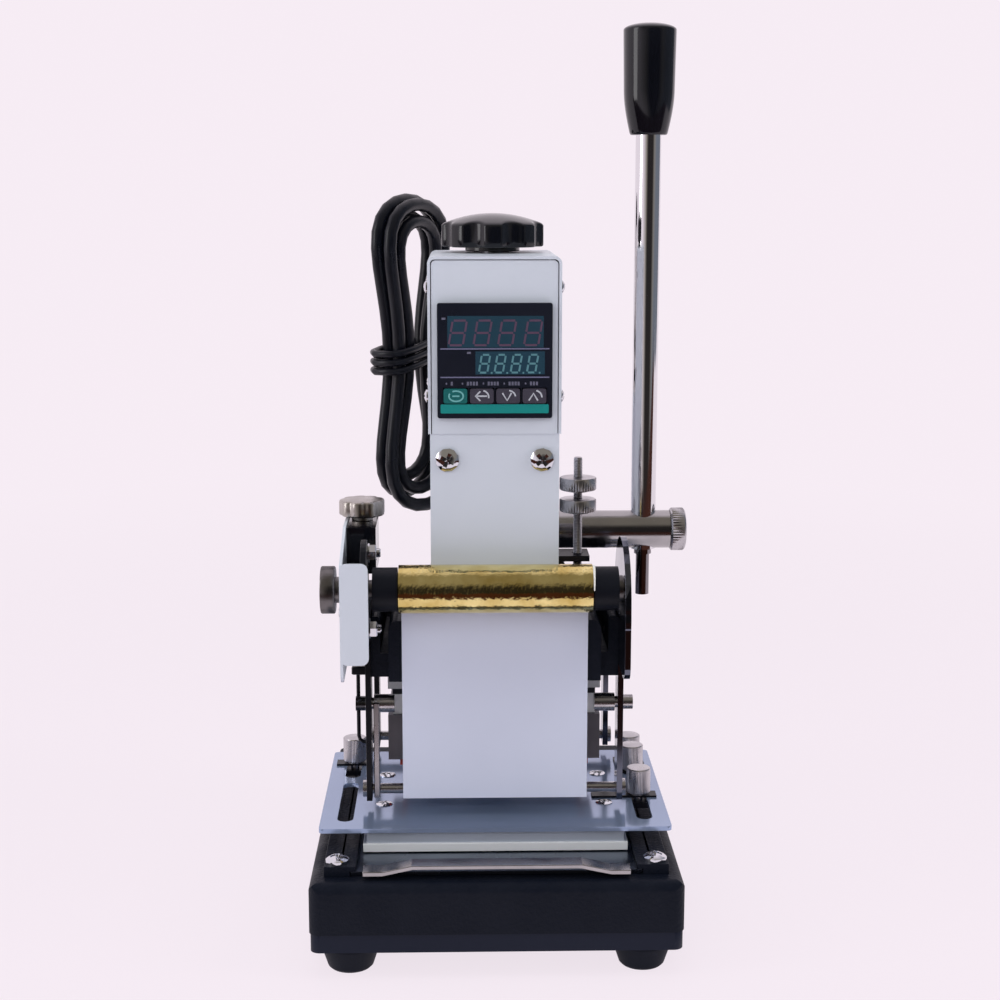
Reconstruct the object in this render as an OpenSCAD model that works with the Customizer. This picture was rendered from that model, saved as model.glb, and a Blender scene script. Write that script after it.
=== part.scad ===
// Hand-lever hot foil stamping press. Millimetres, X right, Y back, Z up.
// The origin lies on the table top, midway between the four feet.

/* [Base] */
// Width of the cast base
base_w = 157; // [140:1:190]
// Depth of the cast base
base_d = 210; // [200:1:240]
// Height of the base casting
base_h = 22; // [18:1:32]
// Radius of the base's upright corners
base_corner_r = 4.5; // [4:0.5:10]
// Radius of the base's upper edges
base_edge_r = 4; // [1:0.5:6]
// Wall of the hollow casting
base_wall = 10; // [7:0.5:12]
// Thickness of the casting's top
base_top_t = 8; // [6:0.5:11]
// Thickness of the plate that closes the base from below
bottom_plate_t = 8; // [5:0.5:10]
// How far the bottom plate is set in from the casting
bottom_plate_inset = 0.5; // [0.25:0.25:3]

/* [Feet] */
// Height of a rubber foot
foot_h = 12; // [10:0.5:18]
// Foot diameter where it meets the plate
foot_top_d = 25.5; // [20:0.5:28]
// Foot diameter on the table
foot_low_d = 19.5; // [15:0.5:20]
// Distance of a foot from the base's side edge
foot_edge_x = 16.5; // [14:0.5:20]
// Distance of a foot from the base's front or rear edge
foot_edge_y = 16; // [14:0.5:24]

/* [Screws] */
// Shank diameter of the large pan-head screws
pan_d = 5; // [4:0.25:6]
// Head diameter of the large pan-head screws
pan_head_d = 10; // [8:0.25:11]
// Head height of the large pan-head screws
pan_head_h = 3.2; // [2:0.1:3.6]
// Shank diameter of the small screws
small_d = 3; // [2:0.25:3.5]
// Head diameter of the small screws
small_head_d = 5.6; // [4.5:0.1:6.5]
// Head height of the small screws
small_head_h = 1.8; // [1.2:0.1:2.2]

/* [Table] */
// Width of a guide rail
rail_w = 11; // [10.5:0.25:13]
// Height of a guide rail above the base
rail_h = 4.5; // [4:0.25:5.5]
// Length of a guide rail
rail_len = 138; // [120:1:139]
// Gap between a rail and the base's side edge
rail_edge = 6; // [5:0.25:7]
// Overhang of the rail's lip over the tray
rail_lip = 2.5; // [1.5:0.25:3.5]
// Thickness of the sliding tray
tray_t = 1.7; // [1.2:0.1:2.2]
// Length of the sliding tray
tray_len = 130; // [124:1:134]
// Thickness of the block's lower lip
block_lip_h = 3.8; // [2.6:0.2:4.4]
// Thickness of the block above its lip
block_h = 5.2; // [4:0.2:7]
// Width of the block
block_w = 111; // [100:1:114]
// Depth of the block
block_d = 99; // [86:1:100]
// Width of the slotted plate
plate_w = 152; // [148:0.5:158]
// Depth of the slotted plate
plate_d = 104; // [101:1:108]
// Thickness of the slotted plate
plate_t = 2; // [1.5:0.1:3]
// Width of a slot
slot_w = 7; // [6:0.25:8]
// Length of a front slot
slot_front_len = 50; // [44:1:52]
// Length of a rear slot
slot_rear_len = 30; // [28:1:33]
// How far the table pulls out
table_travel = 55; // [20:1:60]
// Height of the finger gap under the pull
pull_gap = 2.6; // [2.2:0.1:4]
// Length of the pull's raised middle
pull_mid = 70; // [60:1:74]

/* [Stops] */
// Diameter of a thumb-screw head
thumb_d = 11; // [8:0.5:12]
// Height of a thumb-screw head
thumb_h = 12.4; // [8:0.2:13]
// Thickness of a stop bar
stop_bar_t = 0.9; // [0.7:0.1:1.4]

/* [Column] */
// Width of the column cover
cover_w = 54.5; // [52:0.5:55]
// Thickness of the column cover's sheet
cover_t = 1.5; // [1:0.1:2]
// Height of the arm's underside above the table top
arm_z = 150; // [148:1:154]
// Height of the arm
arm_h = 74; // [72:1:80]
// Thickness of the frame's web and post
web_t = 22; // [18:1:22]
// Depth of the post
post_d = 45; // [38:1:48]
// Diameter of the ram
ram_d = 20; // [19:0.5:21]
// Diameter of the ram's upper stem
stem_d = 10; // [8:0.5:11]
// Radial running clearance of shafts and bores
run_c = 0.04; // [0.02:0.01:0.08]

/* [Head] */
// Width of the head box
head_w = 56; // [55:0.5:60]
// Height of the head box
head_h = 74; // [70:1:84]
// Depth of the head box
head_d = 73; // [70:1:78]
// Thickness of the head's sheet
head_t = 1.2; // [0.8:0.1:1.6]
// Side of the square controller
ctrl_w = 48; // [47:0.5:49]
// Depth of the controller behind the panel
ctrl_d = 36; // [30:1:38]
// Diameter of the star knob
knob_d = 45; // [38:1:50]
// Height of the star knob
knob_h = 16.5; // [14:0.5:20]
// Number of lobes on the star knob
knob_lobes = 8; // [6:1:10]
// Travel of a controller key
key_travel = 0.5; // [0.3:0.1:0.6]

/* [Lever] */
// Module of the rack and pinion
gear_m = 1; // [0.9:0.05:1]
// Teeth on the pinion
gear_teeth = 20; // [20:1:20]
// Height of the lever shaft above the table top
shaft_z = 170; // [169.5:0.5:172]
// Diameter of the lever shaft outside the column
shaft_d = 17.5; // [16:0.5:18.5]
// Distance of the lever rod from the machine's middle plane
rod_x = 70; // [68.5:0.5:72]
// Diameter of the lever rod
rod_d = 11.5; // [10:0.5:12]
// Height of the top of the grip
grip_top_z = 397.5; // [380:0.5:420]
// Length of the grip
grip_len = 48.5; // [42:0.5:55]
// Largest diameter of the grip
grip_d = 23.5; // [20:0.5:25]
// Diameter of the clamp cap on the shaft's end
cap_d = 20; // [18:0.5:24]
// Thickness of the clamp cap
cap_t = 7; // [5:0.5:9]

/* [Stamping head] */
// Width of the heater block
heater_w = 94; // [80:1:96]
// Depth of the heater block
heater_d = 60; // [50:1:61]
// Height of the heater block
heater_h = 20.5; // [16:0.5:21.5]
// Thickness of the silicone pad
pad_t = 3.5; // [2:0.25:4]
// Free height between the slotted plate and the pad
work_gap = 16.2; // [15.9:0.1:17]
// Thickness of the insulating board
insulator_t = 12; // [9:0.5:13]
// Thickness of the carrier plate
carrier_t = 5.5; // [4:0.5:6.5]

/* [Depth stop] */
// Diameter of the stop stud
stud_d = 4; // [3:0.25:5]
// Diameter of a stop nut
stop_nut_d = 16.2; // [13:0.1:17]
// Height of a stop nut
stop_nut_h = 6.5; // [5:0.25:7]
// Gap between the lower nut and its bracket
stop_gap = 17.8; // [16.2:0.1:19]

/* [Foil feed] */
// Distance between the two foil plates
foil_span = 107.6; // [107:0.2:109]
// Thickness of a foil plate
foil_plate_t = 2.5; // [2:0.1:3]
// Height of the supply roll's axis above the table top
roll_z = 160; // [159.5:0.5:161]
// Diameter of the foil roll
roll_d = 21; // [18:0.5:24]
// Length of the foil roll
roll_len = 81.2; // [60:0.2:82]
// Diameter of the roll's core ends
core_d = 18.6; // [16:0.2:19]
// Width of the guard sheet
guard_w = 80; // [70:1:82]
// Height of the guard's lower edge above the slotted plate
guard_gap = 8.4; // [7:0.2:10]

/* [Mains lead] */
// Diameter of the lead
cord_d = 6.3; // [5.5:0.1:6.4]
// Loops in the hank
hank_loops = 4; // [4:1:4]

/* [Hidden] */
$fn = 48;
eps = 0.01;
fit = 0.1;
loose = 0.3;
pan_hole_d = pan_d + fit;
small_hole_d = small_d + fit;
small_screw_in = 6;

// Heights of the base and table
bottom_z = foot_h;
cast_z = bottom_z + bottom_plate_t;
base_z = cast_z + base_h;
rail_top_z = base_z + rail_h;
tray_z = base_z + loose;
tray_top_z = tray_z + tray_t;
block_foot_h = 0.4;
block_foot_in = 5;
block_lip = 1.5;
block_z = tray_top_z + block_foot_h;
plate_z = block_z + block_lip_h + block_h;
work_z = plate_z + plate_t;

// Places on the base
foot_recess_h = 5.5;
foot_edge = 1;
foot_rim = 2;
foot_boss_d = 20;
foot_screw_in = 10;
top_screw_in = 6;
foot_x = base_w / 2 - foot_edge_x;
foot_y = base_d / 2 - foot_edge_y;
shoulder_drop = 9.5;
shoulder_roof_t = 6;
rail_x = base_w / 2 - rail_edge - rail_w / 2;
rail_front_y = -base_d / 2 + 9;
rail_in_x = rail_x - rail_w / 2;
tray_w = 2 * (rail_in_x - loose);
tray_front_y = rail_front_y + 1;
plate_front_y = -75.5;
plate_mid_y = plate_front_y + plate_d / 2;
slot_x = plate_w / 2 - 10.75;
slot_front_y = plate_front_y + 9;
slot_rear_y = slot_front_y + slot_front_len + 7;
pull_slope = 12;
pull_end = 9;
pull_t = 1.8;
pull_d = 8.5;
pull_over = 5.5;
pull_round = 0.6;
rail_screw_y = [rail_front_y + 6, rail_front_y + rail_len - 6];

// Column, ram and pinion
arm_top_z = arm_z + arm_h;
column_y = -60;
arm_front_y = column_y + cover_t;
arm_back_y = 28;
cover_back_y = 20;
cover_z = arm_z + 2;
cover_screw_in = 10;
yoke_screw_in = 5;
arm_w = cover_w - 2 * cover_t - 0.4;
ram_y = -12;
pitch_r = gear_m * gear_teeth / 2;
rack_y = ram_d / 2 - 3;
shaft_y = ram_y + rack_y + pitch_r;
post_y = 50;
post_back_y = post_y + post_d;
web_fillet_r = 6;
web_corner_r = 25;
flange_lap = 4;
flange_t = 10;
flange_w = 64;
flange_z = base_z + flange_t;
shoulder_x = flange_w / 2 + 3;
shoulder_y = post_y - flange_lap;
flange_screw_x = flange_w / 2 - 8;
flange_screw_y = [post_y + 4, post_back_y - 4];
cover_screw_x = 20;
cover_screw_z = arm_top_z - 11;
bush_wall = 3;
journal_d = 12;
left_journal_d = 10;
pinion_w = 14;
pinion_side_c = 1.5;
tooth_slack = 0.15;
pinion_pocket_r = pitch_r + 3.2;
shaft_start_x = cover_w / 2 + 0.5;
shaft_end_x = rod_x + 12;

// Stamping stack, hung under the ram
pad_z = work_z + work_gap;
heater_z = pad_z + pad_t;
insulator_z = heater_z + heater_h;
carrier_z = insulator_z + insulator_t;
carrier_top_z = carrier_z + carrier_t;
stack_y = ram_y;
yoke_z = carrier_top_z + 3;
yoke_floor_t = 10.5;
yoke_w = 91.6;
yoke_front_y = -60;
yoke_back_y = 20;
yoke_top_z = arm_z - 7;
yoke_corner_r = 4;
yoke_neck_w = 60;
yoke_neck_y = [-55, 20];
ear_t = 4.2;
ear_h = yoke_top_z - yoke_z;
ear_corner_r = 1.5;
ear_y = [-52, 14];
pad_inset = 5;
heater_bore_d = 8;
yoke_seat_z = yoke_z + 5;
yoke_screw_x = 18;
yoke_screw_y = [-42, 13];
ram_shoulder_z = arm_top_z - 26;
spring_z = arm_top_z + 0.05;
spring_len = 40;
spring_r = 7.25;
spring_wire = 1.8;
spring_curls = 8;
curl_rings = 8;
stem_collar_z = spring_z + spring_len + 0.05;
stem_collar_d = 18;
stem_collar_t = 4;
stem_top_z = stem_collar_z + stem_collar_t;
rack_low_z = shaft_z - pitch_r;
rack_high_z = ram_shoulder_z;

// Head box
head_z = arm_top_z;
head_top_z = head_z + head_h;
head_front_y = column_y - 1;
head_back_y = head_front_y + head_d;
panel_y = head_front_y + 0.4;
panel_back_y = head_back_y - 0.4;
head_edge_r = 3;
head_screw_len = 4;
spring_hole_d = 20;
gland_neck_d = 10;
gland_len = 25;
chassis_gap = 0.4;
chassis_w = head_w - 2 * head_t - 2 * chassis_gap;
chassis_h = head_h - head_t - chassis_gap;
ctrl_over_floor = 31;
ctrl_z = head_z + ctrl_over_floor;
bezel_t = 3;
bezel_y = panel_y - bezel_t;
ctrl_body_w = ctrl_w - 3;
key_w = 9.9;
key_h = 6.2;
key_c = 0.25;
key_t = 2.4;
key_pitch = 11;
key_z = ctrl_z - 14.6;
key_proud = 0.6;
screw_d = 10;
screw_tip_z = stem_top_z + loose;
boss_h = 13;
boss_d = 22;
knob_z = head_top_z + 0.5;
knob_neck_h = 2;
knob_dome = 5.2;
knob_neck_d = 24;
knob_scallop_r = 7;
knob_scallop = 2.6;
knob_cap_t = 3;
side_screw_y = [head_front_y + 10, head_back_y - 8];
side_screw_z = [head_z + 15, head_top_z - 13];

// Lever
rod_low_z = shaft_z - 30.5;
grip_z = grip_top_z - grip_len;
grip_low = 0.71;
grip_mid = 0.965;
grip_swell_at = 0.42;
grip_dome_at = 0.935;
grip_steps = 20;
tang_d = 7;
tang_len = 24;
stub_d = 6.2;
collar_d = 8;
collar_h = 2.5;
cap_spigot_d = 8;
cap_gap = 0.4;

// Depth stop
stud_x = cover_w / 2 + 9.5;
stud_y = -38;
bracket_z = arm_z + 15.7;
bracket_t = 2.5;
bracket_y = [-46, -30];
bracket_drop = 12.5;
bracket_over = 4.8;
nut_gap = 3;
stud_over = 8.6;
bracket_screw_y = [-43, -33];
bracket_screw_z = bracket_z - 3.5;
lower_nut_z = bracket_z + bracket_t + stop_gap;
upper_nut_z = lower_nut_z + stop_nut_h + nut_gap;
stud_top_z = upper_nut_z + stop_nut_h + stud_over;

// Foil frame
plate_in_x = foil_span / 2;
plate_out_x = plate_in_x + foil_plate_t;
roll_y = -73;
axle_d = 8;
axle_knob_t = 6;
axle_knob_d = 20;
axle_knob_gap = 2.5;
core_tube_d = 14;
pin_d = 5;
pin_spool_d = 8;
pin_spool_x = [plate_in_x - 10, plate_in_x - 1];
pin_head_d = 6.4;
pin_head_t = 4.5;
leaf_at = [-58.5, roll_z - 7];
leaf_r = 26;
leaf_low_z = roll_z - 38;
leaf_corner_r = 7;
plate_bend_y = -4;
plate_bend_z = arm_z - 16;
rod_z = work_z + 8.4;
guide_rod_d = 4.5;
rivet_d = 7.5;
rivet_t = 1.8;
front_rod_y = -48;
rear_rod_y = 28;
pin_z = work_z + 47.6;
pin_y = -48;
arm_strip_w = 12;
arm_low_z = rod_z - 3.8;
takeup_y = 33;
takeup_z = arm_z - 22;
takeup_d = 19;
guard_t = 1.2;
guard_peg_d = 4;
guard_peg_len = 5;
guard_peg_x = 32;
guard_peg_z = yoke_top_z - 6;
guard_z = work_z + guard_gap;
ear_screw_y = [-30, 4];
ear_screw_z = yoke_z + ear_h / 2 + 2;
feed_x = plate_out_x + 8.3;
axle_knob_x = feed_x + axle_knob_gap;
feed_t = 1.2;
feed_front_y = -87.5;
feed_flange_w = 11.8;
feed_flange_low = 29;
feed_flange_high = 14;
feed_tail = 8;
feed_low_z = roll_z - feed_flange_low - feed_tail;
feed_flange_z = [roll_z - feed_flange_low, roll_z + feed_flange_high];
feed_block_y = [-56, -28];
feed_block_z = [roll_z + 3, roll_z + 23];
feed_block_in_x = plate_in_x - 3;
feed_tongue_z = roll_z - 17;
feed_stem_d = 5;
feed_stem_len = 14;
feed_flutes = 10;
feed_screw_x = plate_in_x + 3.7;
feed_screw_y = -37;
feed_knob_d = 20;
feed_knob_h = 7;
feed_knob_z = feed_block_z[1] + 2.2;
spacer_d = 7;
spacer_at = [[-55, roll_z - 14], [-35, roll_z - 24]];

// Thumb-screws and stop bars
stop_stem_d = 4;
stop_bar_d = 6.6;
clamp_w = 9.5;
clamp_t = 2.5;
left_stop_y = 11;
front_stop_y = -36;
rear_stop_y = [-3, 12];

// The lead's route: straight out of the gland, a quarter turn down, then the hank
hank_turn = 60;
hank_at = [-37.2, 64, arm_top_z + 23];
hank_h_out = 76;
hank_h_in = 60;
belly_in = 34;
waist_in = 5;
belly_step = 14.5;
waist_step = 8.2;
layer_step = 6.9;
lead_in_shift = 5;
loop_rings = 24;
loop_sides = 6;
lead_sides = 8;
plug_top_z = arm_z - 9;
plug_neck = 14;
plug_h = 36;
plug_w = 26;
plug_t = 15;
plug_pin_len = 19;
tie_h = 6;
tie_t = 1.2;
tie_end = 9;
tie_reach = 8;

// Colours as the photograph shows them
black_iron = [0.09, 0.09, 0.1];
white_paint = [0.86, 0.87, 0.91];
chrome = [0.78, 0.79, 0.81];
nickel = [0.7, 0.69, 0.66];
gold = [0.83, 0.66, 0.25];
bronze = [0.62, 0.46, 0.25];

// Flat outlines and small shapes

module rounded_rect(w, d, r) {
    square([w - 2 * r, d], center = true);
    square([w, d - 2 * r], center = true);
    for (x = [-1, 1], y = [-1, 1])
        translate([x * (w / 2 - r), y * (d / 2 - r)]) circle(r);
}

// A w by h outline that stands on the axis, with its two upper corners rounded
module round_topped(w, h, r) {
    translate([-w / 2, 0]) square([w, h - r]);
    translate([-w / 2 + r, 0]) square([w - 2 * r, h]);
    for (x = [-1, 1]) translate([x * (w / 2 - r), h - r]) circle(r);
}

// Turns a flat outline, drawn as (y, z), into a plate of thickness t from x
module plate_yz(x, t) {
    translate([x, 0, 0]) rotate([90, 0, 90]) linear_extrude(t) children();
}

// Turns a flat outline, drawn as (x, z), into a plate of thickness t from y backwards
module plate_xz(y, t) {
    translate([0, y + t, 0]) rotate([90, 0, 0]) linear_extrude(t) children();
}

module box(x, y, z) {
    translate([x[0], y[0], z[0]]) cube([x[1] - x[0], y[1] - y[0], z[1] - z[0]]);
}

module x_rod(d, x0, x1, y, z) {
    translate([x0, y, z]) rotate([0, 90, 0]) cylinder(d = d, h = x1 - x0);
}

module y_rod(d, y0, y1, x, z) {
    translate([x, y0, z]) rotate([-90, 0, 0]) cylinder(d = d, h = y1 - y0);
}

module z_rod(d, z0, z1, x, y) {
    translate([x, y, z0]) cylinder(d = d, h = z1 - z0);
}

// A screw along -Z whose head stands on z = 0, a low dome over a straight rim
module screw(d, head_d, head_h, len) {
    rim = head_h * 0.4;
    dome = head_h - rim;
    dome_r = (pow(head_d / 2, 2) + dome * dome) / (2 * dome);
    intersection() {
        cylinder(d = head_d, h = head_h);
        translate([0, 0, head_h - dome_r]) sphere(dome_r);
    }
    translate([0, 0, -len]) cylinder(d = d, h = len + eps);
}

module pan_screw(len) {
    screw(pan_d, pan_head_d, pan_head_h, len);
}

module small_screw(len) {
    screw(small_d, small_head_d, small_head_h, len);
}

// A round disc along +Z with both rims chamfered by c
module chamfered(d, h, c) {
    rotate_extrude() polygon([[0, 0], [d / 2 - c, 0], [d / 2, c], [d / 2, h - c],
        [d / 2 - c, h], [0, h]]);
}

// Base

// Casting, open below, with a lower shoulder on each side of the column's foot
module base_casting() color(black_iron) difference() {
    intersection() {
        translate([0, 0, cast_z]) linear_extrude(base_h) rounded_rect(base_w, base_d, base_corner_r);
        translate([0, 0, cast_z]) plate_yz(-base_w / 2, base_w)
            round_topped(base_d, base_h, base_edge_r);
        translate([0, 0, cast_z]) plate_xz(-base_d / 2, base_d)
            round_topped(base_w, base_h, base_edge_r);
    }
    difference() {
        translate([0, 0, cast_z - 1]) linear_extrude(base_h - base_top_t + 1)
            rounded_rect(base_w - 2 * base_wall, base_d - 2 * base_wall, base_corner_r / 2);
        for (x = [-1, 1], y = [-1, 1])
            z_rod(foot_boss_d, cast_z - 2, base_z - base_top_t + 1, x * foot_x, y * foot_y);
        for (side = [0, 1]) mirror([side, 0, 0]) box([shoulder_x - shoulder_roof_t, base_w],
            [shoulder_y - shoulder_roof_t, base_d], [base_z - shoulder_drop - shoulder_roof_t, base_z]);
    }
    for (side = [0, 1]) mirror([side, 0, 0])
        box([shoulder_x, base_w], [shoulder_y, base_d], [base_z - shoulder_drop, base_z + 1]);
    for (x = [-1, 1], y = [-1, 1])
        z_rod(pan_hole_d, cast_z - 1, cast_z + foot_screw_in + 1, x * foot_x, y * foot_y);
    for (x = [-1, 1], y = rail_screw_y)
        z_rod(pan_hole_d, base_z - top_screw_in - 0.5, base_z + 1, x * rail_x, y);
    for (x = [-1, 1], y = flange_screw_y)
        z_rod(pan_hole_d, base_z - top_screw_in - 0.5, base_z + 1, x * flange_screw_x, y);
}

module base_bottom_plate() color([0.12, 0.13, 0.16]) difference() {
    translate([0, 0, bottom_z]) linear_extrude(bottom_plate_t)
        rounded_rect(base_w - 2 * bottom_plate_inset, base_d - 2 * bottom_plate_inset,
            base_corner_r - bottom_plate_inset);
    for (x = [-1, 1], y = [-1, 1])
        z_rod(pan_hole_d, bottom_z - 1, cast_z + 1, x * foot_x, y * foot_y);
}

module rubber_feet() color([0.1, 0.1, 0.11])
    for (x = [-1, 1], y = [-1, 1]) translate([x * foot_x, y * foot_y, 0]) difference() {
        rotate_extrude() polygon([[0, 0], [foot_low_d / 2 - foot_edge, 0], [foot_low_d / 2, foot_edge],
            [foot_top_d / 2, foot_h - foot_rim], [foot_top_d / 2, foot_h], [0, foot_h]]);
        translate([0, 0, -1]) cylinder(d = pan_head_d + 1, h = foot_recess_h + 1);
        cylinder(d = pan_hole_d, h = foot_h + 1);
    }

module table_rails() color(black_iron)
    for (side = [0, 1]) mirror([side, 0, 0]) difference() {
        plate_xz(rail_front_y, rail_len) polygon([[rail_in_x, base_z], [rail_in_x + rail_w, base_z],
            [rail_in_x + rail_w, rail_top_z], [rail_in_x - rail_lip, rail_top_z],
            [rail_in_x - rail_lip, tray_top_z + loose], [rail_in_x, tray_top_z + loose]]);
        for (y = rail_screw_y) z_rod(pan_hole_d, base_z - 1, rail_top_z + 1, rail_x, y);
    }

// The large screws: feet, rails, post flange, column cover and yoke
module pan_head_screws() color(chrome) {
    for (x = [-1, 1], y = [-1, 1]) translate([x * foot_x, y * foot_y, foot_recess_h])
        rotate([180, 0, 0]) pan_screw(cast_z + foot_screw_in - foot_recess_h);
    for (x = [-1, 1], y = rail_screw_y) translate([x * rail_x, y, rail_top_z])
        pan_screw(rail_h + top_screw_in);
    for (x = [-1, 1], y = flange_screw_y) translate([x * flange_screw_x, y, flange_z])
        pan_screw(flange_t + top_screw_in);
    for (x = [-1, 1]) translate([x * cover_screw_x, column_y, cover_screw_z])
        rotate([90, 0, 0]) pan_screw(cover_t + cover_screw_in);
    for (x = [-1, 1], y = yoke_screw_y) translate([x * yoke_screw_x, y, yoke_seat_z])
        rotate([180, 0, 0]) pan_screw(arm_z - yoke_seat_z + yoke_screw_in);
}

// Column

module web_outline() difference() {
    union() {
        translate([arm_back_y - 5, arm_z]) square([post_back_y - arm_back_y + 5, arm_h]);
        translate([post_y, base_z]) square([post_d, arm_top_z - base_z]);
        translate([post_y - web_fillet_r, arm_z - web_fillet_r]) difference() {
            square(web_fillet_r + eps);
            circle(web_fillet_r);
        }
    }
    translate([post_back_y - web_corner_r, arm_top_z - web_corner_r]) difference() {
        square(web_corner_r + 1);
        circle(web_corner_r);
    }
}

module c_frame() color(white_paint) difference() {
    union() {
        box([-arm_w / 2, arm_w / 2], [arm_front_y, arm_back_y], [arm_z, arm_top_z]);
        plate_yz(-web_t / 2, web_t) web_outline();
        box([-flange_w / 2, flange_w / 2], [post_y - flange_lap, post_back_y + flange_lap],
            [base_z, flange_z]);
    }
    z_rod(ram_d + 1, arm_z - 1, ram_shoulder_z + 3, 0, ram_y);
    z_rod(stem_d + 2 * bush_wall + fit, ram_shoulder_z, arm_top_z + 1, 0, ram_y);
    x_rod(2 * pinion_pocket_r, -arm_w / 2 - 1, pinion_w / 2 + pinion_side_c, shaft_y, shaft_z);
    x_rod(journal_d + 2 * bush_wall + fit, 0, arm_w / 2 + 1, shaft_y, shaft_z);
    for (x = [-1, 1]) {
        y_rod(pan_hole_d, arm_front_y - 1, arm_front_y + cover_screw_in + 1,
            x * cover_screw_x, cover_screw_z);
        for (y = yoke_screw_y)
            z_rod(pan_hole_d, arm_z - 1, arm_z + yoke_screw_in + 1, x * yoke_screw_x, y);
        for (y = flange_screw_y)
            z_rod(pan_hole_d, base_z - 1, flange_z + 1, x * flange_screw_x, y);
    }
    for (y = bracket_screw_y)
        x_rod(small_hole_d, arm_w / 2 - small_screw_in - 1, arm_w / 2 + 1, y, bracket_screw_z);
}

module column_cover() color(white_paint) difference() {
    box([-cover_w / 2, cover_w / 2], [column_y, cover_back_y], [cover_z, arm_top_z]);
    box([-cover_w / 2 + cover_t, cover_w / 2 - cover_t], [arm_front_y, cover_back_y + 1],
        [cover_z - 1, arm_top_z + 1]);
    for (x = [-1, 1])
        y_rod(pan_hole_d, column_y - 1, arm_front_y + 1, x * cover_screw_x, cover_screw_z);
    x_rod(journal_d + 1, 0, cover_w / 2 + 1, shaft_y, shaft_z);
    for (y = bracket_screw_y) x_rod(small_hole_d, 0, cover_w / 2 + 1, y, bracket_screw_z);
}

module bronze_bushes() color(bronze) {
    difference() {
        z_rod(ram_d + 2 * bush_wall, yoke_z + 0.5, arm_z, 0, ram_y);
        z_rod(ram_d + 2 * run_c, yoke_z - 1, arm_z + 1, 0, ram_y);
    }
    difference() {
        z_rod(stem_d + 2 * bush_wall, ram_shoulder_z + 4, arm_top_z, 0, ram_y);
        z_rod(stem_d + 2 * run_c, ram_shoulder_z, arm_top_z + 1, 0, ram_y);
    }
    difference() {
        x_rod(2 * pinion_pocket_r - fit, -arm_w / 2, -pinion_w / 2 - pinion_side_c, shaft_y, shaft_z);
        x_rod(left_journal_d + 2 * run_c, -arm_w / 2 - 1, 0, shaft_y, shaft_z);
        z_rod(ram_d + 1, arm_z, arm_top_z, 0, ram_y);
    }
    difference() {
        x_rod(journal_d + 2 * bush_wall, pinion_w / 2 + pinion_side_c, arm_w / 2, shaft_y, shaft_z);
        x_rod(journal_d + 2 * run_c, 0, arm_w / 2 + 1, shaft_y, shaft_z);
    }
}

module yoke() color(black_iron) difference() {
    union() {
        translate([0, 0, yoke_z]) plate_xz(yoke_front_y, yoke_back_y - yoke_front_y)
            round_topped(yoke_w, ear_h, yoke_corner_r);
        box([-yoke_neck_w / 2, yoke_neck_w / 2], yoke_neck_y, [yoke_top_z - eps, arm_z]);
        box([-plate_in_x, plate_in_x], ear_y, [yoke_z, yoke_z + yoke_floor_t]);
        for (side = [0, 1]) mirror([side, 0, 0])
            translate([plate_in_x - ear_t / 2, 0, yoke_z]) plate_xz(ear_y[0], ear_y[1] - ear_y[0])
                round_topped(ear_t, ear_h, ear_corner_r);
    }
    z_rod(ram_d + 2 * bush_wall + fit, yoke_z - 1, arm_z + 1, 0, ram_y);
    z_rod(stud_d + 2 * loose, yoke_z - 1, arm_z + 1, stud_x, stud_y);
    for (x = [-1, 1], y = yoke_screw_y) {
        z_rod(pan_hole_d, yoke_z, arm_z + 1, x * yoke_screw_x, y);
        z_rod(pan_head_d + 1, yoke_z - 1, yoke_seat_z, x * yoke_screw_x, y);
    }
    for (x = [-1, 1], y = ear_screw_y)
        x_rod(small_hole_d, x * plate_in_x - ear_t - 1, x * plate_in_x + ear_t + 1, y, ear_screw_z);
    for (x = [-1, 1])
        y_rod(guard_peg_d + fit, yoke_front_y - 1, yoke_front_y + guard_peg_len + 1,
            x * guard_peg_x, guard_peg_z);
}

module stop_bracket() color(black_iron) difference() {
    union() {
        box([cover_w / 2, stud_x + bracket_over], bracket_y, [bracket_z, bracket_z + bracket_t]);
        box([cover_w / 2, cover_w / 2 + bracket_t], bracket_y,
            [bracket_z - bracket_drop, bracket_z + bracket_t]);
    }
    z_rod(stud_d + 2 * loose, bracket_z - 1, bracket_z + bracket_t + 1, stud_x, stud_y);
    for (y = bracket_screw_y)
        x_rod(small_hole_d, cover_w / 2 - 1, cover_w / 2 + bracket_t + 1, y, bracket_screw_z);
}

module return_spring() color(chrome)
    tube([for (i = [0 : spring_curls * curl_rings]) let (a = 360 * i / curl_rings)
        [spring_r * cos(a), ram_y + spring_r * sin(a),
            spring_z + spring_wire / 2 + (spring_len - spring_wire) * i / (spring_curls * curl_rings)]],
        spring_wire / 2, loop_sides, [0, 0, 1]);

// Head

module head_shell() color(white_paint) difference() {
    union() {
        translate([0, 0, head_z]) plate_xz(head_front_y, head_d) difference() {
            round_topped(head_w, head_h, head_edge_r);
            translate([0, -1])
                round_topped(head_w - 2 * head_t, head_h - head_t + 1, head_edge_r - head_t);
        }
        z_rod(boss_d, head_top_z - boss_h, head_top_z - head_t + eps, 0, ram_y);
    }
    z_rod(screw_d + 2 * run_c, head_top_z - boss_h - 1, head_top_z + 1, 0, ram_y);
    for (x = [-1, 1], y = side_screw_y, z = side_screw_z)
        x_rod(small_hole_d, x * head_w / 2 - 2, x * head_w / 2 + 2, y, z);
}

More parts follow.
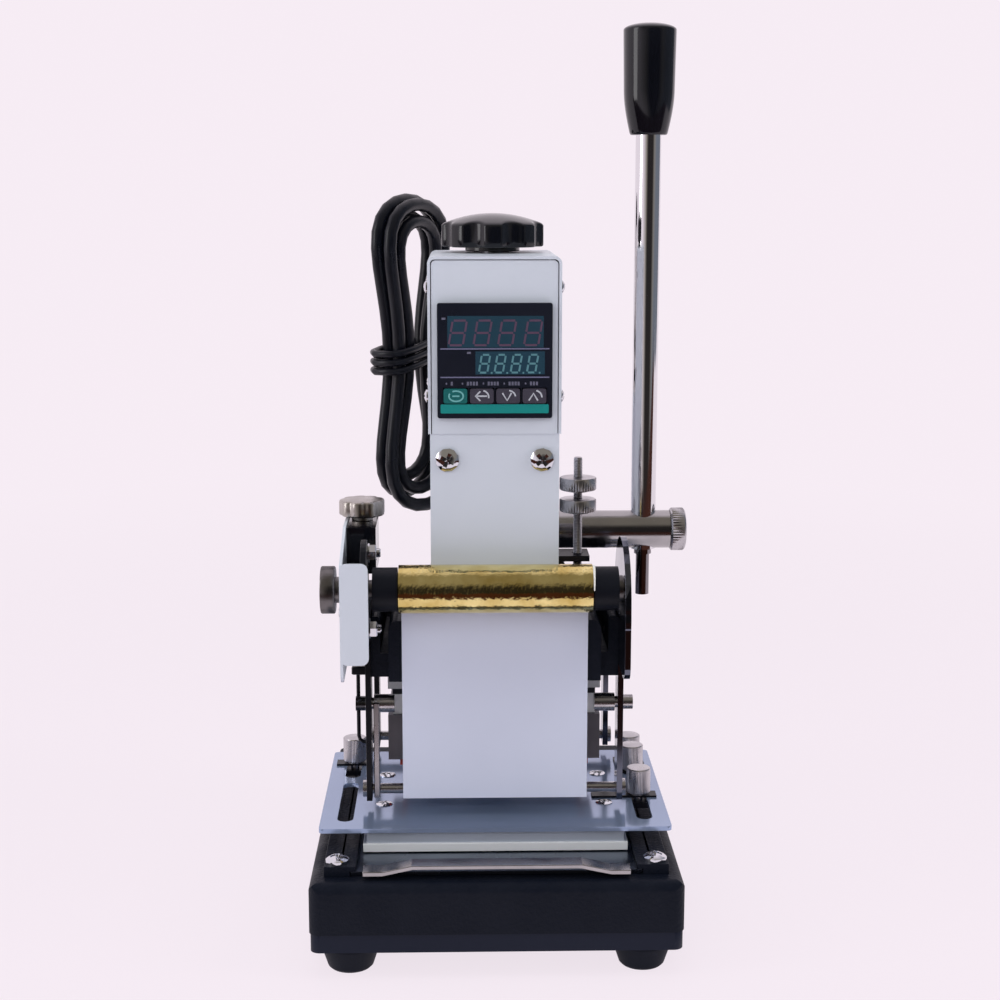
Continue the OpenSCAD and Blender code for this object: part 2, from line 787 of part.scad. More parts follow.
// Front panel, floor and rear panel of the head, bent from one sheet with side flanges
module head_chassis() color(white_paint) difference() {
    union() {
        intersection() {
            plate_yz(-chassis_w / 2, chassis_w) difference() {
                translate([panel_y, head_z]) square([panel_back_y - panel_y, chassis_h]);
                translate([panel_y + head_t, head_z + head_t])
                    square([panel_back_y - panel_y - 2 * head_t, head_h]);
            }
            translate([0, 0, head_z]) plate_xz(panel_y - 1, panel_back_y - panel_y + 2)
                round_topped(chassis_w, chassis_h, head_edge_r - head_t);
        }
        for (side = [0, 1]) mirror([side, 0, 0]) {
            box([chassis_w / 2 - head_t, chassis_w / 2], [panel_y, side_screw_y[0] + flange_lap],
                [head_z, head_top_z - head_edge_r - 1]);
            box([chassis_w / 2 - head_t, chassis_w / 2], [side_screw_y[1] - flange_lap, panel_back_y],
                [head_z, head_top_z - head_edge_r - 1]);
        }
    }
    box([-ctrl_body_w / 2 - fit, ctrl_body_w / 2 + fit], [panel_y - 1, panel_y + head_t + 1],
        [ctrl_z - ctrl_body_w / 2 - fit, ctrl_z + ctrl_body_w / 2 + fit]);
    z_rod(spring_hole_d, head_z - 1, head_z + head_t + 1, 0, ram_y);
    y_rod(gland_neck_d + 2 * fit, panel_back_y - head_t - 1, panel_back_y + 1, gland_at[0], gland_at[2]);
    for (x = [-1, 1], y = side_screw_y, z = side_screw_z)
        x_rod(small_hole_d, x * chassis_w / 2 - 2, x * chassis_w / 2 + 2, y, z);
}

// The small screws: head sides, foil plates, feed cover and stop bracket
module small_screws() color(chrome) {
    for (x = [-1, 1], y = side_screw_y, z = side_screw_z) translate([x * head_w / 2, y, z])
        rotate([0, x * 90, 0]) small_screw(head_screw_len);
    for (x = [-1, 1], y = ear_screw_y) translate([x * plate_out_x, y, ear_screw_z])
        rotate([0, x * 90, 0]) small_screw(foil_plate_t + ear_t);
    for (at = spacer_at) translate([-feed_x, at[0], at[1]])
        rotate([0, -90, 0]) small_screw(feed_x - plate_in_x);
    for (y = bracket_screw_y) translate([cover_w / 2 + bracket_t, y, bracket_screw_z])
        rotate([0, 90, 0]) small_screw(bracket_t + cover_t + small_screw_in);
}

module controller_case() color([0.08, 0.1, 0.13]) difference() {
    union() {
        translate([0, 0, ctrl_z]) plate_xz(bezel_y, bezel_t) rounded_rect(ctrl_w, ctrl_w, 1);
        box([-ctrl_body_w / 2, ctrl_body_w / 2], [panel_y - eps, panel_y + ctrl_d],
            [ctrl_z - ctrl_body_w / 2, ctrl_z + ctrl_body_w / 2]);
    }
    for (i = [0 : 3])
        box([key_x(i) - key_w / 2 - key_c, key_x(i) + key_w / 2 + key_c],
            [bezel_y - 1, bezel_y - key_proud + key_t + key_travel + loose],
            [key_z - key_h / 2 - key_c, key_z + key_h / 2 + key_c]);
}

function key_x(i) = (i - 1.5) * key_pitch;

module key(i) translate([key_x(i), 0, key_z]) plate_xz(bezel_y - key_proud, key_t)
    rounded_rect(key_w, key_h, 1);

module set_key() color([0.1, 0.5, 0.48]) key(0);

module shift_key() color([0.25, 0.27, 0.3]) key(1);

module down_key() color([0.25, 0.27, 0.3]) key(2);

module up_key() color([0.25, 0.27, 0.3]) key(3);

module adjusting_screw() color(chrome)
    z_rod(screw_d, screw_tip_z, knob_z + knob_h - knob_cap_t, 0, ram_y);

module star_knob() color([0.06, 0.06, 0.07]) translate([0, ram_y, knob_z]) difference() {
    rotate_extrude() polygon([[0, 0], [knob_neck_d / 2, 0], [knob_neck_d / 2, knob_neck_h],
        [knob_d / 2 - 0.6, knob_neck_h], [knob_d / 2, knob_neck_h + 0.6], [knob_d / 2, knob_h - knob_dome],
        for (k = [0.96, 0.85, 0.7, 0.5, 0.25, 0]) [k * knob_d / 2, knob_h - 0.9 * knob_dome * k * k]]);
    for (i = [0 : knob_lobes - 1]) rotate((i + 0.5) * 360 / knob_lobes)
        translate([knob_d / 2 + knob_scallop_r - knob_scallop, 0, knob_neck_h - 1])
            cylinder(r = knob_scallop_r, h = knob_h);
    translate([0, 0, -1]) cylinder(d = screw_d + 2 * run_c, h = knob_h - knob_cap_t + 1);
}

// Lever

function involute(a) = tan(a) * 180 / PI - a;

function tooth_half(r) = 90 / gear_teeth - tooth_slack / pitch_r * 90 / PI + involute(20)
    - involute(acos(min(1, pitch_r * cos(20) / r)));

function tooth_radii() = [pitch_r - 1.25 * gear_m, pitch_r * cos(20), pitch_r - 0.2 * gear_m,
    pitch_r + 0.4 * gear_m, pitch_r + gear_m];

function polar(r, a) = [r * cos(a), r * sin(a)];

// Outline of the pinion, with one tooth towards the rack
function pinion_outline() = [for (i = [0 : gear_teeth - 1], side = [-1, 1], k = [0 : 4])
    let (r = tooth_radii()[side < 0 ? k : 4 - k])
    polar(r, 180 + i * 360 / gear_teeth + side * tooth_half(r))];

module pinion_shaft() color(chrome) difference() {
    union() {
        x_rod(left_journal_d, -arm_w / 2 + 2, 0, shaft_y, shaft_z);
        translate([0, shaft_y, shaft_z]) plate_yz(-pinion_w / 2, pinion_w) polygon(pinion_outline());
        x_rod(journal_d, 0, shaft_start_x + 1, shaft_y, shaft_z);
        x_rod(shaft_d, shaft_start_x, shaft_end_x, shaft_y, shaft_z);
        x_rod(cap_spigot_d, shaft_end_x - 1, shaft_end_x + cap_gap + cap_t - 2, shaft_y, shaft_z);
    }
    z_rod(rod_d + 2 * run_c, shaft_z - shaft_d, shaft_z + shaft_d, rod_x, shaft_y);
}

module lever_rod() color(chrome) {
    z_rod(stub_d, rod_low_z, shaft_z, rod_x, shaft_y);
    z_rod(collar_d, shaft_z - shaft_d / 2 - collar_h, shaft_z, rod_x, shaft_y);
    z_rod(rod_d, shaft_z - shaft_d / 2, grip_z, rod_x, shaft_y);
    z_rod(tang_d, grip_z - eps, grip_z + tang_len, rod_x, shaft_y);
}

// Radius of the grip at a share k of its length: a taper that swells out, then a nearly straight side
function grip_r(k) = grip_d / 2 * (k < grip_swell_at
    ? grip_low + (grip_mid - grip_low) * sin(90 * k / grip_swell_at)
    : grip_mid + (1 - grip_mid) * (k - grip_swell_at) / (grip_dome_at - grip_swell_at));

module lever_grip() color([0.05, 0.05, 0.06]) translate([rod_x, shaft_y, grip_z]) difference() {
    rotate_extrude() polygon(concat([[0, 0]],
        [for (i = [0 : grip_steps]) let (k = grip_dome_at * i / grip_steps) [grip_r(k), grip_len * k]],
        [for (a = [15 : 15 : 90]) [grip_d / 2 * cos(a),
            grip_len * (grip_dome_at + (1 - grip_dome_at) * sin(a))]]));
    translate([0, 0, -1]) cylinder(d = tang_d + 2 * run_c, h = tang_len + 1.5);
}

module lever_cap() color(nickel) difference() {
    translate([shaft_end_x + cap_gap, shaft_y, shaft_z]) rotate([0, 90, 0])
        chamfered(cap_d, cap_t, 0.8);
    x_rod(cap_spigot_d + 2 * run_c, shaft_end_x - 1, shaft_end_x + cap_gap + cap_t - 1.5,
        shaft_y, shaft_z);
}

// Stamping head

// One gap of the rack, drawn as (y, z) around the pitch line
module rack_gap() {
    half = PI * gear_m / 4 + tooth_slack / 2;
    tip = half + tan(20) * 1.3 * gear_m;
    root = half - tan(20) * 1.25 * gear_m;
    polygon([[1.3 * gear_m, -tip], [1.3 * gear_m, tip], [-1.25 * gear_m, root],
        [-1.25 * gear_m, -root]]);
}

module ram() color(chrome) {
    difference() {
        z_rod(ram_d, carrier_top_z, ram_shoulder_z, 0, ram_y);
        box([-ram_d, ram_d], [ram_y + rack_y + gear_m, ram_y + ram_d], [rack_low_z, rack_high_z + 1]);
        for (k = [-2 : 7]) translate([0, ram_y + rack_y, shaft_z + k * PI * gear_m])
            plate_yz(-ram_d, 2 * ram_d) rack_gap();
    }
    z_rod(stem_d, ram_shoulder_z - eps, stem_top_z, 0, ram_y);
    z_rod(stem_collar_d, stem_collar_z, stem_top_z, 0, ram_y);
}

module carrier_plate() color([0.35, 0.36, 0.38]) difference() {
    box([-heater_w / 2, heater_w / 2], [stack_y - heater_d / 2, stack_y + heater_d / 2],
        [carrier_z, carrier_top_z]);
    z_rod(stud_d + 2 * run_c, carrier_z - 1, carrier_top_z + 1, stud_x, stud_y);
}

module insulator_plate() color([0.9, 0.9, 0.88])
    box([-heater_w / 2 + 2, heater_w / 2 - 2], [stack_y - heater_d / 2 + 2, stack_y + heater_d / 2 - 2],
        [insulator_z, carrier_z]);

// Cast block with two bores along X for the heating rods and one for the sensor
module heater_block() color([0.55, 0.55, 0.57]) difference() {
    box([-heater_w / 2, heater_w / 2], [stack_y - heater_d / 2, stack_y + heater_d / 2],
        [heater_z, insulator_z]);
    for (y = [-1, 1]) x_rod(heater_bore_d, -heater_w / 2 - 1, heater_w / 2 - 8,
        stack_y + y * heater_d / 4, heater_z + heater_h / 2);
}

module heater_pad() color([0.62, 0.16, 0.12])
    box([-heater_w / 2 + pad_inset, heater_w / 2 - pad_inset],
        [stack_y - heater_d / 2 + 3, stack_y + heater_d / 2 - 3], [pad_z, heater_z]);

module stop_stud() color(nickel) z_rod(stud_d, carrier_z, stud_top_z, stud_x, stud_y);

module stop_nut(z) color(nickel) translate([stud_x, stud_y, z]) difference() {
    chamfered(stop_nut_d, stop_nut_h, 0.8);
    translate([0, 0, -1]) cylinder(d = stud_d + 2 * run_c, h = stop_nut_h + 2);
}

module upper_stop_nut() stop_nut(upper_nut_z);

module lower_stop_nut() stop_nut(lower_nut_z);

// Sliding table

module table_tray() color(chrome)
    box([-tray_w / 2, tray_w / 2], [tray_front_y, tray_front_y + tray_len], [tray_z, tray_top_z]);

module table_block() color([0.75, 0.76, 0.79]) {
    y = [plate_mid_y - block_d / 2, plate_mid_y + block_d / 2];
    box([-block_w / 2 + block_foot_in, block_w / 2 - block_foot_in],
        [y[0] + block_foot_in, y[1] - block_foot_in], [tray_top_z, block_z + eps]);
    box([-block_w / 2 - block_lip, block_w / 2 + block_lip], [y[0] - block_lip, y[1] + block_lip],
        [block_z, block_z + block_lip_h]);
    box([-block_w / 2, block_w / 2], y, [block_z + block_lip_h - eps, plate_z]);
}

// A slot along Y from y to y + len
module slot(x, y, len) translate([x, y + len / 2]) {
    square([slot_w, len - slot_w], center = true);
    for (e = [-1, 1]) translate([0, e * (len - slot_w) / 2]) circle(d = slot_w);
}

module slotted_plate() color(chrome) translate([0, 0, plate_z]) linear_extrude(plate_t)
    difference() {
    translate([0, plate_mid_y]) rounded_rect(plate_w, plate_d, 2);
    for (x = [-1, 1]) {
        slot(x * slot_x, slot_front_y, slot_front_len);
        slot(x * slot_x, slot_rear_y, slot_rear_len);
    }
}

// A bent strip: two flat ends on the tray and a raised middle
module pull_handle() color(chrome) plate_xz(tray_front_y - pull_over, pull_d) {
    m = pull_mid / 2;
    f = m + pull_slope;
    e = f + pull_end;
    z0 = tray_top_z;
    z1 = tray_top_z + pull_gap;
    polygon([[-e, z0], [-f, z0], [-m, z1], [m, z1], [f, z0], [e, z0], [e, z0 + pull_t],
        [f + pull_round, z0 + pull_t], [m + pull_round, z1 + pull_t], [-m - pull_round, z1 + pull_t],
        [-f - pull_round, z0 + pull_t], [-e, z0 + pull_t]]);
}

// A bar on the plate with its square clamp nut under the slot, one for each y
module stop_bar(x, y, side, ys) color(black_iron) difference() {
    union() {
        box(x, y, [work_z, work_z + stop_bar_t]);
        for (at = ys) box([side * slot_x - clamp_w / 2, side * slot_x + clamp_w / 2],
            [at - clamp_w / 2, at + clamp_w / 2], [plate_z - clamp_t, plate_z]);
    }
    for (at = ys)
        z_rod(stop_stem_d + 2 * run_c, plate_z - clamp_t - 1, work_z + stop_bar_t + 1, side * slot_x, at);
}

module left_stop()
    stop_bar([-slot_x - 8.5, -slot_x + 8.5],
        [left_stop_y - stop_bar_d / 2, left_stop_y + stop_bar_d / 2], -1, [left_stop_y]);

module right_front_stop()
    stop_bar([heater_w / 2 - pad_inset + 2, slot_x + 8],
        [front_stop_y - stop_bar_d / 2, front_stop_y + stop_bar_d / 2], 1, [front_stop_y]);

module right_rear_stop()
    stop_bar([slot_x - 7, slot_x + 7],
        [rear_stop_y[0] - stop_bar_d / 2, rear_stop_y[1] + stop_bar_d / 2], 1, rear_stop_y);

module thumb_screw(side, y) color(nickel) translate([side * slot_x, y, work_z + stop_bar_t]) {
    chamfered(thumb_d, thumb_h, 0.8);
    translate([0, 0, -stop_bar_t - plate_t - clamp_t]) cylinder(d = stop_stem_d,
        h = stop_bar_t + plate_t + clamp_t + eps);
}

module left_thumb_screw() thumb_screw(-1, left_stop_y);

module front_thumb_screw() thumb_screw(1, front_stop_y);

module rear_thumb_screws() for (y = rear_stop_y) thumb_screw(1, y);

// Foil feed

module disc(y, z, r) translate([y, z]) circle(r, $fn = 32);

module left_front_outline() hull() {
    disc(roll_y + 2, roll_z + 9, 12);
    disc(roll_y + 2, roll_z - 12, 14);
}

module right_front_outline() hull() {
    disc(leaf_at[0], leaf_at[1], leaf_r);
    for (y = [-1, 1])
        disc(leaf_at[0] + y * (leaf_r - leaf_corner_r), leaf_low_z + leaf_corner_r, leaf_corner_r);
}

// The rear part and the two arms that both foil plates share, drawn as (y, z)
module foil_plate_outline() {
    hull() {
        disc(roll_y + 2, roll_z - 12, 14);
        disc(plate_bend_y, plate_bend_z, 14);
    }
    hull() {
        disc(plate_bend_y, plate_bend_z, 14);
        disc(takeup_y, takeup_z, 12);
    }
    for (y = [front_rod_y, rear_rod_y])
        translate([y - arm_strip_w / 2, arm_low_z]) square([arm_strip_w, plate_bend_z - arm_low_z]);
}

module foil_plate() difference() {
    plate_yz(plate_in_x, foil_plate_t) {
        foil_plate_outline();
        children();
    }
    x_rod(axle_d + 2 * run_c, plate_in_x - 1, plate_out_x + 1, roll_y, roll_z);
    x_rod(axle_d + 2 * run_c, plate_in_x - 1, plate_out_x + 1, takeup_y, takeup_z);
    for (y = [front_rod_y, rear_rod_y])
        x_rod(guide_rod_d + 2 * fit, plate_in_x - 1, plate_out_x + 1, y, rod_z);
    x_rod(pin_d + 2 * fit, plate_in_x - 1, plate_out_x + 1, pin_y, pin_z);
    for (y = ear_screw_y) x_rod(small_hole_d, plate_in_x - 1, plate_out_x + 1, y, ear_screw_z);
    for (at = spacer_at) x_rod(small_hole_d, plate_in_x - 1, plate_out_x + 1, at[0], at[1]);
}

module left_foil_plate() color([0.16, 0.16, 0.18]) mirror([1, 0, 0]) foil_plate() left_front_outline();

module right_foil_plate() color(chrome) foil_plate() right_front_outline();

// Two foil rods riveted between the arms, and a stepped pin on each front arm
module guide_rods() color(nickel) {
    for (y = [front_rod_y, rear_rod_y]) {
        x_rod(guide_rod_d, -plate_out_x - eps, plate_out_x + eps, y, rod_z);
        for (x = [-1, 1]) x_rod(rivet_d, x * (plate_out_x + rivet_t / 2) - rivet_t / 2,
            x * (plate_out_x + rivet_t / 2) + rivet_t / 2, y, rod_z);
    }
    for (side = [0, 1]) mirror([side, 0, 0]) {
        x_rod(pin_d, pin_spool_x[0], plate_out_x + 1, pin_y, pin_z);
        x_rod(pin_spool_d, pin_spool_x[0], pin_spool_x[1], pin_y, pin_z);
        x_rod(pin_head_d, plate_out_x, plate_out_x + pin_head_t, pin_y, pin_z);
    }
}

// Sheet in front of the heater, with two pegs that are pressed into the yoke
module guard_sheet() color(white_paint) {
    box([-guard_w / 2, guard_w / 2], [yoke_front_y - guard_t, yoke_front_y], [guard_z, arm_z]);
    for (x = [-1, 1])
        y_rod(guard_peg_d, yoke_front_y - eps, yoke_front_y + guard_peg_len, x * guard_peg_x, guard_peg_z);
}

module feed_cover() color(white_paint) difference() {
    union() {
        plate_yz(-feed_x, feed_t) hull() {
            disc(feed_front_y + 4, feed_low_z + 4, 4);
            disc(feed_front_y + 4, feed_flange_z[1] - 4, 4);
            disc(feed_block_y[0], feed_block_z[1] - 3, 4);
            disc(feed_block_y[1] - 2, feed_block_z[1] - 3, 4);
            disc(feed_block_y[1] - 2, feed_low_z + 8, 4);
        }
        translate([-feed_x + feed_flange_w / 2, 0, (feed_flange_z[0] + feed_flange_z[1]) / 2])
            plate_xz(feed_front_y, feed_t)
                rounded_rect(feed_flange_w, feed_flange_z[1] - feed_flange_z[0], 3);
    }
    x_rod(axle_d + 2, -feed_x - 1, -feed_x + 2 * feed_t, roll_y, roll_z);
    for (at = spacer_at) x_rod(small_hole_d, -feed_x - 1, -feed_x + 2 * feed_t, at[0], at[1]);
}

// Block on the left plate that carries the feed knob's screw, and two spacers
module feed_block() color(black_iron) difference() {
    union() {
        box([-feed_x + feed_t, -feed_block_in_x], feed_block_y, feed_block_z);
        box([-feed_x + feed_t, -plate_out_x], feed_block_y, [feed_tongue_z, feed_block_z[1]]);
        for (at = spacer_at) x_rod(spacer_d, -feed_x + feed_t, -plate_out_x, at[0], at[1]);
    }
    z_rod(feed_stem_d + 2 * run_c, feed_block_z[1] - feed_stem_len - 1, feed_block_z[1] + 1,
        -feed_screw_x, feed_screw_y);
    for (at = spacer_at) x_rod(small_hole_d, -feed_x, -plate_in_x, at[0], at[1]);
}

module feed_knob() color(nickel) translate([-feed_screw_x, feed_screw_y, feed_knob_z]) {
    difference() {
        chamfered(feed_knob_d, feed_knob_h, 0.8);
        for (i = [0 : feed_flutes - 1]) rotate(i * 360 / feed_flutes)
            translate([feed_knob_d / 2 + 1.6, 0, -1]) cylinder(r = 2.4, h = feed_knob_h + 2);
    }
    translate([0, 0, -feed_knob_z + feed_block_z[1] - feed_stem_len])
        cylinder(d = feed_stem_d, h = feed_knob_z - feed_block_z[1] + feed_stem_len + eps);
}

// Axle of the supply roll with its turning knob on the left and a retaining ring inside the right plate
module supply_axle() color(nickel) {
    x_rod(axle_d, -axle_knob_x, plate_out_x + 0.4, roll_y, roll_z);
    translate([-axle_knob_x - axle_knob_t, roll_y, roll_z]) rotate([0, 90, 0])
        chamfered(axle_knob_d, axle_knob_t, 0.8);
    x_rod(axle_d + 3, -axle_knob_x - eps, -feed_x - 0.6, roll_y, roll_z);
    x_rod(axle_d + 3, plate_in_x - 2.1, plate_in_x - 0.3, roll_y, roll_z);
}

module supply_core() color([0.07, 0.07, 0.08]) difference() {
    union() {
        x_rod(core_tube_d, -roll_len / 2 - 1, roll_len / 2 + 1, roll_y, roll_z);
        for (side = [0, 1]) mirror([side, 0, 0])
            x_rod(core_d, roll_len / 2 + 0.5, plate_in_x - 2.3, roll_y, roll_z);
    }
    x_rod(axle_d + 2 * run_c, -plate_in_x, plate_in_x, roll_y, roll_z);
}

module foil_roll() color(gold) difference() {
    x_rod(roll_d, -roll_len / 2, roll_len / 2, roll_y, roll_z);
    x_rod(core_tube_d + 2 * run_c, -roll_len, roll_len, roll_y, roll_z);
}

module takeup_roll() color([0.12, 0.12, 0.13]) {
    x_rod(axle_d, -plate_out_x - 2, plate_out_x + 2, takeup_y, takeup_z);
    x_rod(takeup_d, -plate_in_x + 2, plate_in_x - 2, takeup_y, takeup_z);
}

// Mains lead

function unit(v) = v / norm(v);

// A tube of radius r through the points, with ring corners set out from the direction ref
module tube(points, r, sides, ref) {
    last = len(points) - 1;
    rings = [for (i = [0 : last])
        let (t = unit(points[min(i + 1, last)] - points[max(i - 1, 0)]),
            a = unit(ref - t * (ref * t)), b = cross(t, a))
        for (k = [0 : sides - 1]) points[i] + r * (cos(360 * k / sides) * a + sin(360 * k / sides) * b)];
    walls = [for (i = [0 : last - 1], k = [0 : sides - 1])
        let (p = i * sides + k, q = i * sides + (k + 1) % sides)
        each [[p, p + sides, q], [q, p + sides, q + sides]]];
    caps = [for (k = [1 : sides - 2])
        each [[0, k, k + 1], [last * sides, last * sides + k + 1, last * sides + k]]];
    polyhedron(rings, concat(walls, caps));
}

hank_u = [cos(hank_turn), sin(hank_turn), 0];
hank_n = [-sin(hank_turn), cos(hank_turn), 0];
half_loops = hank_loops / 2;

function ease(x) = let (k = max(0, min(1, x))) k * k * (3 - 2 * k);

// How many loops of room are left inside, after t turns: the spiral goes in, then out again
function room(t) = half_loops - (t < half_loops ? t : hank_loops - t);

function hank_across(t, a) =
    let (belly = belly_in + belly_step * room(t), waist = waist_in + waist_step * room(t))
    cos(a) * (belly - (belly - waist) * pow(cos(a), 2));

function hank_up(t, a) = (hank_h_in + (hank_h_out - hank_h_in) / half_loops * room(t)) * sin(a);

function hank_layer(t) = layer_step * (ease((t - half_loops) / 0.25 + 0.5) - 0.5)
    - lead_in_shift * (1 - ease(t / 0.35));

function hank_point(t) = let (a = hank_start_a - 360 * t)
    hank_at + hank_across(t, a) * hank_u + hank_layer(t) * hank_n + [0, 0, hank_up(t, a)];

function hank_points(rings) = [for (i = [0 : hank_loops * rings]) hank_point(i / rings)];

down = [0, 0, -1];
belly_out = belly_in + belly_step * half_loops;
waist_out = waist_in + waist_step * half_loops;
hank_start_a = -acos(sqrt(belly_out / (3 * (belly_out - waist_out))));
hank_first = hank_point(0) - cord_d * down;
hank_last = hank_point(hank_loops) + cord_d * down;
gland_at = [hank_first[0], head_back_y, head_z + 8];
lead_end = hank_first - cord_d * down;
lead_r = gland_at[2] - lead_end[2];

module cord_lead() color([0.05, 0.05, 0.06]) {
    start = [gland_at[0], head_back_y + gland_len, gland_at[2]];
    turn = [gland_at[0], lead_end[1] - lead_r, lead_end[2]];
    arc = [for (a = [90 : -15 : 0]) turn + lead_r * [0, cos(a), sin(a)]];
    tube(concat([start, start + [0, cord_d, 0]], arc, [hank_first]), cord_d / 2, lead_sides, hank_n);
}

// Least distance between two turns, less the lead's diameter
function least_gap(points, apart) = let (last = len(points) - 1)
    min([for (i = [0 : last], j = [i + apart : 1 : last]) norm(points[i] - points[j])]) - cord_d;

module cord_hank() color([0.05, 0.05, 0.06]) {
    echo(hank_gap = least_gap(hank_points(4 * loop_rings), 2 * loop_rings));
    tube(concat([hank_first], hank_points(loop_rings), [hank_last]), cord_d / 2, loop_sides, hank_n);
}

module cord_tail() color([0.05, 0.05, 0.06]) {
    drop = hank_last[2] - plug_top_z;
    tube([for (i = [0 : 4]) hank_last + drop * i / 4 * down], cord_d / 2, lead_sides, hank_n);
}

// Strain relief on the head's rear panel, with its neck through the sheet and a lip inside
module cord_gland() color([0.06, 0.06, 0.07]) translate(gland_at) rotate([-90, 0, 0]) {
    rotate_extrude() polygon([[0, -3], [gland_neck_d / 2 + 1.5, -3], [gland_neck_d / 2 + 1.5, -1.7],
        [gland_neck_d / 2, -1.7], [gland_neck_d / 2, -0.4], [gland_neck_d / 2 + 2, -0.4],
        [gland_neck_d / 2 + 2, 3], [gland_neck_d / 2 + 0.5, 4], [cord_d / 2 + 0.8, gland_len],
        [0, gland_len]]);
}

// A two-pin plug hanging at the end of the tail
module cord_plug() color([0.06, 0.06, 0.07]) translate([hank_last[0], hank_last[1], plug_top_z]) {
    translate([0, 0, -plug_neck]) cylinder(d1 = cord_d + 5, d2 = cord_d + 1.6, h = plug_neck);
    translate([0, 0, -plug_neck - plug_h / 2]) plate_yz(-plug_t / 2, plug_t)
        rounded_rect(plug_w, plug_h, 5);
    for (y = [-1, 1]) translate([0, y * 9.5, -plug_neck - plug_h - plug_pin_len])
        cylinder(d = 4, h = plug_pin_len + 1);
}

// Strap round the hank's waist, with its loose end
module cord_tie() color([0.05, 0.05, 0.06]) {
    at_waist = [for (i = [0 : hank_loops * loop_rings])
        let (t = i / loop_rings, a = hank_start_a - 360 * t)
        if (abs(hank_up(t, a)) < tie_reach) hank_across(t, a)];
    high = max(at_waist) + cord_d / 2 + 0.6;
    low = min(at_waist) - cord_d / 2 - 0.6;
    deep = layer_step + cord_d + 1.2;
    translate(hank_at + (high + low) / 2 * hank_u) rotate(hank_turn) {
        translate([0, 0, -tie_h / 2]) linear_extrude(tie_h) difference() {
            rounded_rect(high - low + 2 * tie_t, deep + 2 * tie_t, 4);
            rounded_rect(high - low, deep, 4 - tie_t);
        }
        box([-(high - low) / 2 - tie_t - tie_end, -(high - low) / 2 - tie_t + eps],
            [-tie_t / 2, tie_t / 2], [-tie_h / 2, tie_h / 2]);
    }
}

base_casting();
base_bottom_plate();
rubber_feet();
table_rails();
pan_head_screws();
c_frame();
column_cover();
bronze_bushes();
yoke();
head_shell();
head_chassis();
small_screws();
controller_case();
guard_sheet();
left_foil_plate();
right_foil_plate();
guide_rods();
feed_cover();
feed_block();
stop_bracket();
return_spring();
cord_gland();
cord_lead();
cord_hank();
cord_tail();
cord_plug();
cord_tie();
set_key();
shift_key();
down_key();
up_key();
adjusting_screw();
star_knob();
pinion_shaft();
lever_rod();
lever_grip();
lever_cap();
ram();
carrier_plate();
insulator_plate();
heater_block();
heater_pad();
stop_stud();
upper_stop_nut();
lower_stop_nut();
table_tray();
table_block();
slotted_plate();
pull_handle();
left_stop();
right_front_stop();
right_rear_stop();
left_thumb_screw();
front_thumb_screw();
rear_thumb_screws();
supply_axle();
supply_core();
foil_roll();
takeup_roll();
feed_knob();
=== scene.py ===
# %% [markdown]
# # A hand-lever hot foil press
# The machine's solids were built first and packed as a fixed frame. This lesson dresses them: it loads
# the frame, then adds what a solid model leaves out, such as knurls, screw recesses, digits and paint.
# Everything is in metres and in the frame's own axes: X to the right, Y to the back, Z up.

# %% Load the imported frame
import math
import bmesh
import bpy
from mathutils import Matrix, Vector


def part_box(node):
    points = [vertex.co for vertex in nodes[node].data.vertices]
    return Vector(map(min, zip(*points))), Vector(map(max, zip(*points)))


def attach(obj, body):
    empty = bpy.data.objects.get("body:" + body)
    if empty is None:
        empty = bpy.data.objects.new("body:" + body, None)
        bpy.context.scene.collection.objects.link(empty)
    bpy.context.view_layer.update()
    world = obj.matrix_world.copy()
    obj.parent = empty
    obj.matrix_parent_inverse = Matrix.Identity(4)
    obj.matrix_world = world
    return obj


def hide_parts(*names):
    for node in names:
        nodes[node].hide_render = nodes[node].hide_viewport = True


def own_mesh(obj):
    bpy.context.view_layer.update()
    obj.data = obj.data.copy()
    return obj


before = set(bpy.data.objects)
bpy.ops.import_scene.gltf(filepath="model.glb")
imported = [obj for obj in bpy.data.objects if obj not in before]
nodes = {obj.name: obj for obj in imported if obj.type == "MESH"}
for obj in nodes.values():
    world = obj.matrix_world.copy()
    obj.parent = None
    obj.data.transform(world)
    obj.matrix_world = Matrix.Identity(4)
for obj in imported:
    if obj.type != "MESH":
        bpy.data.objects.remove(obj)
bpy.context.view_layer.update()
scene = bpy.context.scene
MM = 0.001

# %% [markdown]
# ## The camera
# A photograph's perspective is fixed by where the camera stood, so it comes before any shape. The lens
# is given as a focal length in pixels of a 1000 pixel picture. The camera looks down by about ten
# degrees and a little to the right, because it stood left of the machine's middle.

# %% Camera
PICTURE_PX, FOCAL_PX, SENSOR_MM = 1000, 1750, 36
CAMERA_AT = (-0.015, -0.790, 0.327)
LOOK_DOWN, LOOK_RIGHT = 10.2, 1.35
camera_data = bpy.data.cameras.new("camera")
camera_data.sensor_width = SENSOR_MM
camera_data.lens = FOCAL_PX / PICTURE_PX * SENSOR_MM
camera = bpy.data.objects.new("camera", camera_data)
camera.location = CAMERA_AT
camera.rotation_euler = (math.radians(90 - LOOK_DOWN), 0, math.radians(-LOOK_RIGHT))
scene.collection.objects.link(camera)
scene.camera = camera
scene.view_settings.view_transform = "Standard"
print("camera lens:", round(camera_data.lens, 1), "mm")

# %% [markdown]
# ## The mains lead
# The lead leaves the back of the head, turns down and is put away as a tied hank. A cord is best made
# as a curve with a round bevel: the curve is its centreline, and Blender sweeps the section along it.
# The route repeats the solids' own formula, so the cord lies where they are. Each loop is an oval drawn
# in at the waist; the loops spiral inwards, climb one layer, and spiral out again.

